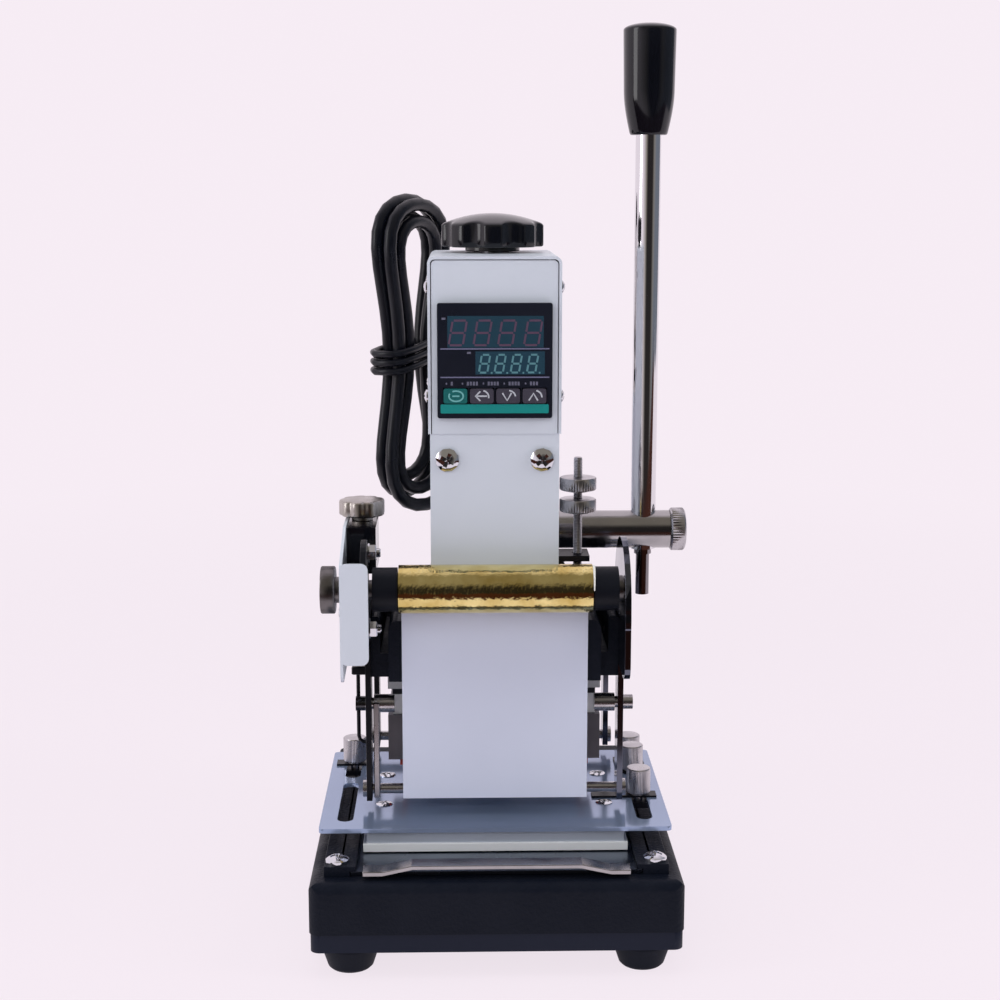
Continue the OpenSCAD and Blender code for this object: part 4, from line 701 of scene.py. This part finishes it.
# %% Thumb-screws of the stops
SLOT_X, THUMB_Z = 65.25, 56.3
THUMB_HEAD = [(0, 0), (3.4, 0), (3.4, 0.9), (5.0, 0.9), (5.4, 1.3, 1), (5.4, 11.9, 1), (5.0, 12.3),
              (4.6, 12.4), (0, 12.4)]
THUMB_STEM = [(0, -5.4), (1.6, -5.4), (2, -5), (2, 0.2), (0, 0.2)]
for name, body, replaced, places in (
        ("left_thumb", "left_thumb_screw", "left_thumb_screw", [(-SLOT_X, 11)]),
        ("front_thumb", "front_thumb_screw", "front_thumb_screw", [(SLOT_X, -36)]),
        ("rear_thumbs", "right_rear_stop", "rear_thumb_screws", [(SLOT_X, -3), (SLOT_X, 12)])):
    thumb_shape = new_shape()
    for x, y in places:
        add_lathe(thumb_shape, placed((x, y, THUMB_Z)), THUMB_HEAD, 96, knurl=0.16)
        add_lathe(thumb_shape, placed((x, y, THUMB_Z)), THUMB_STEM, 20)
    shape_object(name, thumb_shape, nickel, body, [replaced])

# %% Depth-stop nuts
STUD_X, STUD_Y = 36.75, -38
NUT_PROFILE = [(2.05, 0), (4.8, 0), (4.8, 0.7), (7.6, 0.7), (8.05, 1.1, 1), (8.05, 5.7, 1), (7.6, 6.2),
               (5.4, 6.5), (2.05, 6.5), (2.05, 0)]
for name, z in (("lower_stop_nut", 186.0), ("upper_stop_nut", 195.5)):
    nut_shape = new_shape()
    add_lathe(nut_shape, placed((STUD_X, STUD_Y, z)), NUT_PROFILE, 88, knurl=0.28)
    shape_object("knurled_" + name, nut_shape, nickel, name, [name])

# %% Threaded stud through the nuts
THREAD_PITCH, CREST_R, ROOT_R = 0.7, 2.0, 1.72
stud_foot, stud_top = (corner[2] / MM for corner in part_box("stop_stud"))
stud_profile = [(0, stud_foot), (1.9, stud_foot)]
z = stud_foot + 0.5
while z < stud_top - 0.9:
    stud_profile += [(CREST_R, z), (ROOT_R, z + THREAD_PITCH / 2)]
    z += THREAD_PITCH
stud_profile += [(1.7, stud_top - 0.2), (1.3, stud_top), (0, stud_top)]
stud_shape = new_shape()
add_lathe(stud_shape, placed((STUD_X, STUD_Y, 0)), stud_profile, 24)
shape_object("threaded_stud", stud_shape, nickel, "ram", ["stop_stud"])

# %% Clamp cap at the end of the lever shaft
LEVER_Y = 5
CAP_PROFILE = [(0, 0), (9.2, 0), (9.9, 0.7, 1), (9.9, 5.9, 1), (9.3, 6.5), (8.6, 6.9), (7.9, 6.4),
               (0, 6.4)]
cap_shape = new_shape()
add_lathe(cap_shape, placed((82.4, LEVER_Y, 170), RIGHT), CAP_PROFILE, 96, knurl=0.3)
shape_object("knurled_cap", cap_shape, nickel, "lever_cap", ["lever_cap"])

# %% Axle of the foil roll with its knob
FOIL_Y, FOIL_Z = -73, 160
AXLE_PROFILE = [(0, 0.3), (8.4, 0.3), (9.0, 0), (9.6, 0), (10, 0.4, 1), (10, 5.6, 1), (9.6, 6), (5.5, 6),
                (5.5, 7.9), (4, 7.9), (4, 129.4), (3.5, 129.8), (0, 129.8)]
COLLAR_PROFILE = [(4, 0), (5.5, 0), (5.5, 1.8), (4, 1.8), (4, 0)]
axle_shape = new_shape()
add_lathe(axle_shape, placed((-73.1, FOIL_Y, FOIL_Z), RIGHT), AXLE_PROFILE, 84, knurl=0.35)
add_lathe(axle_shape, placed((51.7, FOIL_Y, FOIL_Z), RIGHT), COLLAR_PROFILE, 40)
shape_object("knobbed_axle", axle_shape, dark_nickel, "supply_roll", ["supply_axle"])

# %% Fluted feed knob
FLUTES, FLUTE_DEPTH, FLUTE_STEPS = 9, 0.8, 16
FEED_Z = 185.2
feed_place = placed((-57.5, -37, FEED_Z))
flute_rings = [[(0, 0, 0)]]
for r, z in ((9.0, 0), (9.6, 0.3), (10, 0.8), (10, 6.0), (9.7, 6.6), (9.2, 6.9), (8.6, 7)):
    flute_rings.append([polar(r - FLUTE_DEPTH * (0.5 + 0.5 * math.cos(FLUTES * a)) ** 2, a, z)
                        for a in around(FLUTES * FLUTE_STEPS)])
flute_rings.append([(0, 0, 7)])
feed_knob_shape = new_shape()
add_rings(feed_knob_shape, feed_place, flute_rings)
stem_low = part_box("feed_knob")[0][2] / MM - FEED_Z
stem_profile = [(0, stem_low), (2.5, stem_low), (2.5, -2.2), (4.6, -2.0), (4.6, -0.5), (4.6, 0.2),
                (0, 0.2)]
add_lathe(feed_knob_shape, feed_place, stem_profile, 24)
shape_object("fluted_feed_knob", feed_knob_shape, warm_nickel, "feed_knob", ["feed_knob"])

# %% [markdown]
# ## Star knob and grip
# Both are glossy black mouldings. The knob is a dome with eight shallow scallops: its radius is the ray
# from the middle to the nearer of the rim and the scallop's circle, and each ring keeps that outline.

# %% Star knob
LOBES, KNOB_R, SCALLOP_R, SCALLOP_AT, LIP_R = 8, 22.5, 7.0, 26.9, 0.35
RAM_Y, KNOB_Z, KNOB_H, KNOB_POINTS = -12, 298.5, 16.5, 192


def knob_radius(a):
    step = 2 * math.pi / LOBES
    off = (a % step) - step / 2
    side = SCALLOP_AT * math.sin(off)
    if abs(side) >= SCALLOP_R:
        return KNOB_R
    hollow = SCALLOP_AT * math.cos(off) - math.sqrt(SCALLOP_R ** 2 - side ** 2)
    return -LIP_R * math.log(math.exp(-KNOB_R / LIP_R) + math.exp(-hollow / LIP_R))


def knob_ring(share, inset, z, dome=0.0):
    radii = [(a, share * (knob_radius(a) - inset)) for a in around(KNOB_POINTS)]
    return [polar(r, a, z - dome * (r / KNOB_R) ** 2) for a, r in radii]


knob_rings = [[(0, 0, 2)]]
knob_rings += [knob_ring(*ring) for ring in (
    (0.5, 0, 2), (1, 0.7, 2), (1, 0.15, 2.3), (1, 0, 3), (1, 0, 15.4, 4.4), (1, 0.15, 15.9, 4.6),
    (1, 0.55, 16.3, 4.7))]
knob_rings += [knob_ring(share, 1.2, KNOB_H, 4.7)
               for share in (1, 0.93, 0.85, 0.75, 0.6, 0.45, 0.3, 0.15)]
knob_rings.append([(0, 0, KNOB_H)])
knob_shape, knob_place = new_shape(), placed((0, RAM_Y, KNOB_Z))
add_rings(knob_shape, knob_place, knob_rings)
add_lathe(knob_shape, knob_place, [(0, 0), (11.6, 0), (12, 0.4), (12, 2.2), (0, 2.2)], 64)
shape_object("scalloped_knob", knob_shape, black_gloss, "star_knob", ["star_knob"])

# %% Grip
GRIP_R, GRIP_LEN, DOME_AT = 11.75, 48.5, 0.935
NECK, SWELL, SHOULDER, SHOULDER_AT = 0.71, 0.255, 0.965, 0.42
SIDE_STEPS, DOME_STEPS = 40, 12
grip_profile = [(0, 0), (7.9, 0), (8.34, 0.4)]
for i in range(1, SIDE_STEPS + 1):
    k = DOME_AT * i / SIDE_STEPS
    if k < SHOULDER_AT:
        r = NECK + SWELL * math.sin(math.pi / 2 * k / SHOULDER_AT)
    else:
        r = SHOULDER + (1 - SHOULDER) * (k - SHOULDER_AT) / (DOME_AT - SHOULDER_AT)
    grip_profile.append((GRIP_R * r, GRIP_LEN * k))
for i in range(1, DOME_STEPS):
    a = math.radians(90 * i / DOME_STEPS)
    grip_profile.append((GRIP_R * math.cos(a), GRIP_LEN * (DOME_AT + (1 - DOME_AT) * math.sin(a))))
grip_profile.append((0, GRIP_LEN))
grip_shape = new_shape()
add_lathe(grip_shape, placed((70, LEVER_Y, 349)), grip_profile, 72)
shape_object("moulded_grip", grip_shape, black_gloss, "lever", ["lever_grip"])

# %% [markdown]
# ## Return spring
# A coil of wire round the ram lifts it after each stamp. It stands on the arm and is pressed shorter when
# the lever comes down.

# %% Coil of wire
SPRING_FOOT, SPRING_LENGTH, SPRING_TRAVEL = 224.05, 40, 15.8
SPRING_R, WIRE_R, WIRE_SIDES, CURLS, CURL_STEPS = 7.25, 0.9, 10, 8, 32
spring_rings = [[(SPRING_R, 0, WIRE_R)]]
for i in range(CURLS * CURL_STEPS + 1):
    a = 2 * math.pi * i / CURL_STEPS
    height = WIRE_R + (SPRING_LENGTH - 2 * WIRE_R) * i / (CURLS * CURL_STEPS)
    spring_rings.append([polar(SPRING_R + WIRE_R * math.cos(t), a, height + WIRE_R * math.sin(t))
                         for t in around(WIRE_SIDES)])
spring_rings.append([(SPRING_R, 0, SPRING_LENGTH - WIRE_R)])
spring_shape = new_shape()
add_rings(spring_shape, placed((0, RAM_Y, SPRING_FOOT)), spring_rings)
coil = shape_object("spring_coil", spring_shape, bright_steel,
                    replaced=["return_spring"])
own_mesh(coil)

# %% [markdown]
# ## The gold foil
# The foil is a film wound on a paper tube. Its section is a spiral that steps down by the film's loose
# end, and that end is cut unevenly, so the step wanders along the roll. The tube's torn paper edge stands
# out a little at the upper right.

# %% Roll of foil
ROLL_R, ROLL_HALF, ROLL_STEPS = 10.5, 40.6, 90
END_ANGLE, END_WANDER = math.radians(280), math.radians(1.6)
FILM_STEP, FILM_POINTS, FULL_TURN = 0.45, 120, 2 * math.pi * 0.9999
TUCK, TUCK_FROM = 0.10, 0.97


def wander(i):
    return math.sin(i * 12.9898) * 0.5 + math.sin(i * 4.1414 + 1.3) * 0.3 + math.sin(i * 0.37) * 0.4


def film_point(i, k):
    turn = k / (FILM_POINTS - 1)
    r = ROLL_R - FILM_STEP * (1 - turn) - TUCK * max(0, turn - TUCK_FROM) / (1 - TUCK_FROM)
    a = END_ANGLE + END_WANDER * wander(i) + turn * FULL_TURN
    return polar(r, a, 2 * ROLL_HALF * i / ROLL_STEPS)


foil_rings = [[film_point(i, k) for k in range(FILM_POINTS)] for i in range(ROLL_STEPS + 1)]
foil_rings = [[(0, 0, 0)], *foil_rings, [(0, 0, 2 * ROLL_HALF)]]
foil_shape = new_shape()
add_rings(foil_shape, placed((-ROLL_HALF, FOIL_Y, FOIL_Z), RIGHT), foil_rings)
shape_object("wound_foil", foil_shape, gold, "supply_roll", ["foil_roll"])

# %% Paper edge
EDGE_SECTION = [(9.4, 0.05), (10.3, 0.05), (10.3, 1.1), (9.5, 1.3)]
EDGE_FROM, EDGE_STEP, EDGE_STEPS, EDGE_FADE = 186, 3.2, 24, 0.5
edge_rings = []
for k in range(EDGE_STEPS + 1):
    a = math.radians(EDGE_FROM + EDGE_STEP * k)
    out = 1 - EDGE_FADE * k / EDGE_STEPS
    edge_rings.append([polar(r, a, x * out) for r, x in EDGE_SECTION])
for end, where in ((edge_rings[0], 0), (edge_rings[-1], len(edge_rings) + 1)):
    edge_rings.insert(where, [tuple(sum(values) / len(end) for values in zip(*end))])
edge_shape = new_shape()
add_rings(edge_shape, placed((ROLL_HALF, FOIL_Y, FOIL_Z), RIGHT), edge_rings)
shape_object("paper_edge", edge_shape, paper, "supply_roll")

# %% [markdown]
# ## Temperature controller
# The controller's face is a smoked window over two rows of seven-bar digits, two thin rules, a coloured
# stripe and four keys. Each mark is a thin plate laid on the face. A stroke turns a row of points into
# such a plate, so digits and key symbols come from short lists of points.

# %% Plates and strokes on the face
CONTROLLER_Z, FACE_Y, MARK_PROUD = 255, -63.6, 0.1


def cut_corners(x0, x1, z0, z1, cut):
    return [(x0 + cut, z0), (x1 - cut, z0), (x1, z0 + cut), (x1, z1 - cut), (x1 - cut, z1),
            (x0 + cut, z1), (x0, z1 - cut), (x0, z0 + cut)]


def add_plate(shape, outline, proud=MARK_PROUD):
    n, first = len(outline), len(shape["verts"])
    for y in (FACE_Y - proud, FACE_Y):
        shape["verts"] += [Vector((x, y, z + CONTROLLER_Z)) * MM for x, z in outline]
    shape["faces"].append(list(range(first, first + n)))
    shape["faces"].append(list(range(first + 2 * n - 1, first + n - 1, -1)))
    for i in range(n):
        j = (i + 1) % n
        shape["faces"].append([first + i, first + n + i, first + n + j, first + j])


def add_bar(shape, x0, x1, z0, z1, proud=MARK_PROUD):
    add_plate(shape, [(x0, z0), (x1, z0), (x1, z1), (x0, z1)], proud)


def add_stroke(shape, points, width, back, proud):
    sections = []
    for i, (x, z) in enumerate(points):
        before, after = points[max(i - 1, 0)], points[min(i + 1, len(points) - 1)]
        along = Vector((after[0] - before[0], after[1] - before[1])).normalized() * width / 2
        left, right = (x - along.y, z + along.x), (x + along.y, z - along.x)
        sections.append([(*right, back - proud), (*left, back - proud), (*left, back), (*right, back)])
    first = len(shape["verts"])
    shape["verts"] += [Vector((x, y, z)) * MM for section in sections for x, z, y in section]
    for i in range(len(points) - 1):
        a = first + 4 * i
        shape["faces"] += [[a + k, a + 4 + k, a + 4 + (k + 1) % 4, a + (k + 1) % 4] for k in range(4)]
    shape["faces"] += [[first, first + 1, first + 2, first + 3], [a + 7, a + 6, a + 5, a + 4]]


# %% Windows, rules and stripe
WINDOW_PROUD, RULE_HALF, STRIPE_CUT = 0.05, 0.27, 0.35
smoked = finish("smoked_window", (0.019, 0.052, 0.078), (0.016, 0.045, 0.068), rough=(0.12, 0.2),
                bump=0.0)
rule_grey = finish("rule_print", (0.155, 0.155, 0.26))
stripe_teal = finish("stripe_print", (0.002, 0.245, 0.225), (0.002, 0.225, 0.210))
window_shape, rule_shape, stripe_shape = new_shape(), new_shape(), new_shape()
add_bar(window_shape, -19.7, 20.3, 5.6, 18.7, WINDOW_PROUD)
add_bar(window_shape, -8.1, 20.8, -5.6, 4.0, WINDOW_PROUD)
for z in (5.07, -6.8):
    add_bar(rule_shape, -22.7, 22.7, z - RULE_HALF, z + RULE_HALF)
add_plate(stripe_shape, cut_corners(-22.7, 22.5, -21.9, -18.1, STRIPE_CUT))
shape_object("smoked_windows", window_shape, smoked)
shape_object("face_rules", rule_shape, rule_grey)
shape_object("face_stripe", stripe_shape, stripe_teal)

# %% Digits
LEAN, GAP = 0.17, 0.55


def add_digit(shape, x, z, w, h, bar):
    ends = [((0, 0), (w, 0)), ((0, h / 2), (w, h / 2)), ((0, h), (w, h)), ((0, 0), (0, h / 2)),
            ((w, 0), (w, h / 2)), ((0, h / 2), (0, h)), ((w, h / 2), (w, h))]
    for a, b in ends:
        a, b = Vector(a), Vector(b)
        step = (b - a).normalized() * (GAP * bar)
        bar_points = [(x - w / 2 + p.x + LEAN * (p.y - h / 2), z + p.y + CONTROLLER_Z)
                      for p in (a + step, b - step)]
        add_stroke(shape, bar_points, bar, FACE_Y, MARK_PROUD)


dim_red = finish("unlit_red_bars", (0.105, 0.052, 0.095), (0.090, 0.048, 0.088))
sea_green = finish("green_bars", (0.095, 0.240, 0.275), (0.085, 0.215, 0.25))
red_shape, green_shape = new_shape(), new_shape()
for x in (-15.4, -5.1, 5.1, 15.9):
    add_digit(red_shape, x, 6.6, 5.9, 10.2, 0.85)
for x in (-4.3, 2.2, 8.9, 15.7):
    add_digit(green_shape, x, -4.8, 3.5, 7.4, 0.8)
    add_bar(green_shape, x + 2.6, x + 3.3, -5.3, -4.6)
shape_object("upper_digits", red_shape, dim_red)
shape_object("lower_digits", green_shape, sea_green)

# %% Indicator dots and dashes
DASH_STEP, DASH_W = 1.25, 0.85
print_grey = finish("light_print", (0.13, 0.13, 0.19), rough=(0.35, 0.45))
dash_shape = new_shape()
for x, length in ((-17.2, 2.4), (-9.2, 5.0), (-0.4, 5.2), (8.2, 5.0), (17.0, 4.8)):
    start = x - length / 2
    for k in range(int(length / DASH_STEP)):
        add_bar(dash_shape, start + DASH_STEP * k, start + DASH_STEP * k + DASH_W, -10.2, -8.6)
    add_bar(dash_shape, start - 2.1, start - 1.5, -9.8, -9.0)
for x, z in ((-21.3, 17.6), (-10.8, 3.4)):
    add_bar(dash_shape, x - 0.8, x + 0.8, z - 0.45, z + 0.45)
shape_object("indicator_marks", dash_shape, print_grey)

# %% Key symbols
def arc(x, z, r, start, stop, steps=10, squash=1.0):
    turn = [math.radians(start + (stop - start) * i / steps) for i in range(steps + 1)]
    return [(x + r * math.cos(a), z + squash * r * math.sin(a)) for a in turn]


KEY_Z, KEY_FACE_Y, KEY_STEP = 240.4, -64.2, 11
SYMBOL_W, SYMBOL_PROUD, OVAL = 0.65, 0.12, 0.72
symbols = {
    "set_key": [arc(0.3, 0, 3.0, 150, 345, 14, OVAL), arc(0.3, 0, 3.0, -15, 120, 10, OVAL),
                [(-1.3, 0), (1.7, 0)]],
    "shift_key": [[(-0.6, 2.0), (-2.6, 0), (-0.6, -2.0)], [(-2.0, 0), (2.2, 0)],
                  arc(0.2, -0.4, 2.7, -10, 80)],
    "down_key": [[(-2.4, 1.3), (-0.4, -1.9), (1.4, 1.3)], arc(0.2, -0.6, 2.9, 10, 85)],
    "up_key": [[(-2.4, -1.9), (-0.4, 1.1), (1.4, -1.9)], arc(0.2, -0.6, 2.9, 0, 80)]}
mark_light = finish("key_print", (0.50, 0.52, 0.57), rough=(0.35, 0.45))
mark_teal = finish("key_print_teal", (0.16, 0.46, 0.46), rough=(0.35, 0.45))
for i, (key, strokes) in enumerate(symbols.items()):
    key_shape, key_x = new_shape(), (i - 1.5) * KEY_STEP
    for stroke in strokes:
        points = [(x + key_x, z + KEY_Z) for x, z in stroke]
        add_stroke(key_shape, points, SYMBOL_W, KEY_FACE_Y, SYMBOL_PROUD)
    ink, slot = (mark_light, "grey_key") if i else (mark_teal, "teal_key")
    shape_object(key + "_mark", key_shape, ink, key)

# %% [markdown]
# ## Small metalwork of the foil feed
# A few thin pieces hang on the foil plates: a bright strip in front of the left arm that keeps the film
# flat, two hex nuts inside the left plate, and a black cross bar with a thin link rod below the cover.

# %% Bars with chamfered edges
def add_block(shape, low, high, edge):
    (x0, y0, z0), (x1, y1, z1) = low, high
    middle = ((x0 + x1) / 2, (y0 + y1) / 2)
    rings = [[(*middle, z0)]]
    for z, inset in ((z0, edge), (z0 + edge, 0), (z1 - edge, 0), (z1, edge)):
        outline = cut_corners(x0 + inset, x1 - inset, y0 + inset, y1 - inset, edge)
        rings.append([(x, y, z) for x, y in outline])
    rings.append([(*middle, z1)])
    add_rings(shape, placed((0, 0, 0)), rings)


STRIP_LEFT, STRIP_RIGHT, STRIP_EDGE = -53.0, -50.4, 0.35
strip_shape = new_shape()
for (front, low), (back, high) in (((-53.4, 61.2), (-52.2, 104.5)), ((-52.6, 62.4), (-49.8, 65.2)),
                                   ((-52.6, 101.5), (-51.2, 104.5))):
    add_block(strip_shape, (STRIP_LEFT, front, low), (STRIP_RIGHT, back, high), STRIP_EDGE)
shape_object("film_strip", strip_shape, nickel)

# %% Hex nuts
WASHER = [(0, 0), (4.6, 0), (4.6, 0.7), (0, 0.7)]
HEXAGON = [(0, 0), (3.7, 0), (3.7, 2.4), (3.1, 2.9), (0, 2.9)]
BOLT_END = [(0, 0), (1.9, 0), (1.9, 1.3), (1.5, 1.7), (0, 1.7)]
nut_shape = new_shape()
for z in (139.5, 173):
    for x, spin, profile, segments in ((-53.9, 0, WASHER, 32), (-53.2, 12, HEXAGON, 6),
                                       (-50.3, 0, BOLT_END, 20)):
        add_lathe(nut_shape, placed((x, -60, z), RIGHT, spin), profile, segments)
shape_object("plate_nuts", nut_shape, mirror)

# %% Cross bar and link rod
ROD_Y, ROD_D = -44, 1.7
bar_shape = new_shape()
add_block(bar_shape, (-62.3, -51.5, 116.8), (-48.6, -46.5, 120.2), 0.4)
shape_object("cross_bar", bar_shape, black_satin)
rod_points = [Vector((x, ROD_Y, z)) for x, z in (
    (-59.9, 118), (-59.9, 110), (-59.9, 100), (-59.9, 92), (-59.9, 87), (-59.4, 85.2), (-58.0, 84.2),
    (-55.5, 84.0))]
link_rod = tube_curve("link_rod", rod_points, ROD_D)
paint(black_satin, link_rod)
print("link rod:", len(rod_points), "points")

# %% [markdown]
# ## Paint on the solids
# The solids that keep their shape get their finish here. A small bevel on the sharp edges catches the
# light as a real edge does: no cast or folded edge is a perfect corner. The slotted plate is also a
# hair thinner than its solid, so that the stops slide over it without touching.

# %% Finish of each solid
case_black = finish("controller_moulding", (0.006, 0.008, 0.016), (0.008, 0.010, 0.020),
                    rough=(0.25, 0.34), grain=1500, bump=0.05)
teal_key = finish("teal_key_moulding", (0.003, 0.130, 0.125), (0.003, 0.110, 0.108), rough=(0.32, 0.42))
grey_key = finish("grey_key_moulding", (0.052, 0.047, 0.068), (0.045, 0.041, 0.060), rough=(0.35, 0.45))
for material, names in (
        (black_cast, "base_casting table_rails yoke"),
        (dark_plate, "base_bottom_plate"),
        (foot_rubber, "rubber_feet"),
        (white_coat, "c_frame column_cover head_shell head_chassis feed_cover"),
        (guard_coat, "guard_sheet"),
        (black_gloss, "feed_block"),
        (black_satin, "left_foil_plate stop_bracket left_stop right_front_stop right_rear_stop"),
        (rod_chrome, "lever_rod"),
        (tray_steel, "table_tray"),
        (shaft_steel, "pinion_shaft pull_handle"),
        (table_mirror, "slotted_plate"),
        (dark_mirror, "right_foil_plate"),
        (rod_nickel, "guide_rods"),
        (bright_steel, "ram adjusting_screw"),
        (milled_alu, "table_block"),
        (cast_alu, "heater_block"),
        (carrier_white, "carrier_plate"),
        (bronze, "bronze_bushes"),
        (black_matt, "supply_core takeup_roll"),
        (sheath, "cord_gland cord_plug"),
        (case_black, "controller_case"),
        (teal_key, "set_key"),
        (grey_key, "shift_key down_key up_key"),
        (silicone, "heater_pad"),
        (board, "insulator_plate")):
    paint(material, *(nodes[name] for name in names.split()))
paint(sheath, lead, tie)
print("painted:", sum(bool(o.data.materials) for o in nodes.values()), "solids")

# %% Softened edges
MERGE_REACH, SHARP_ANGLE, RUNNING_GAP = 1e-6, 50, 0.02


def add_weld(obj, name):
    obj.modifiers.new(name, "WELD").merge_threshold = MERGE_REACH


def soften(width, *names):
    for name in names:
        add_weld(nodes[name], "weld")
        bevel = nodes[name].modifiers.new("soft_edge", "BEVEL")
        bevel.width = width * MM
        bevel.segments = 2
        bevel.limit_method = "ANGLE"
        bevel.angle_limit = math.radians(SHARP_ANGLE)
        bevel.harden_normals = True
    print("softened:", len(names), "solids by", width, "mm")


add_weld(nodes["slotted_plate"], "weld_first")
gap = nodes["slotted_plate"].modifiers.new("running_gap", "DISPLACE")
gap.mid_level = 0
gap.strength = -RUNNING_GAP * MM
soften(0.5, "base_bottom_plate", "table_rails", "yoke", "feed_block")
soften(0.3, "guard_sheet", "left_foil_plate", "right_foil_plate", "slotted_plate", "table_block",
       "pull_handle", "heater_block", "insulator_plate", "carrier_plate", "stop_bracket",
       "controller_case")
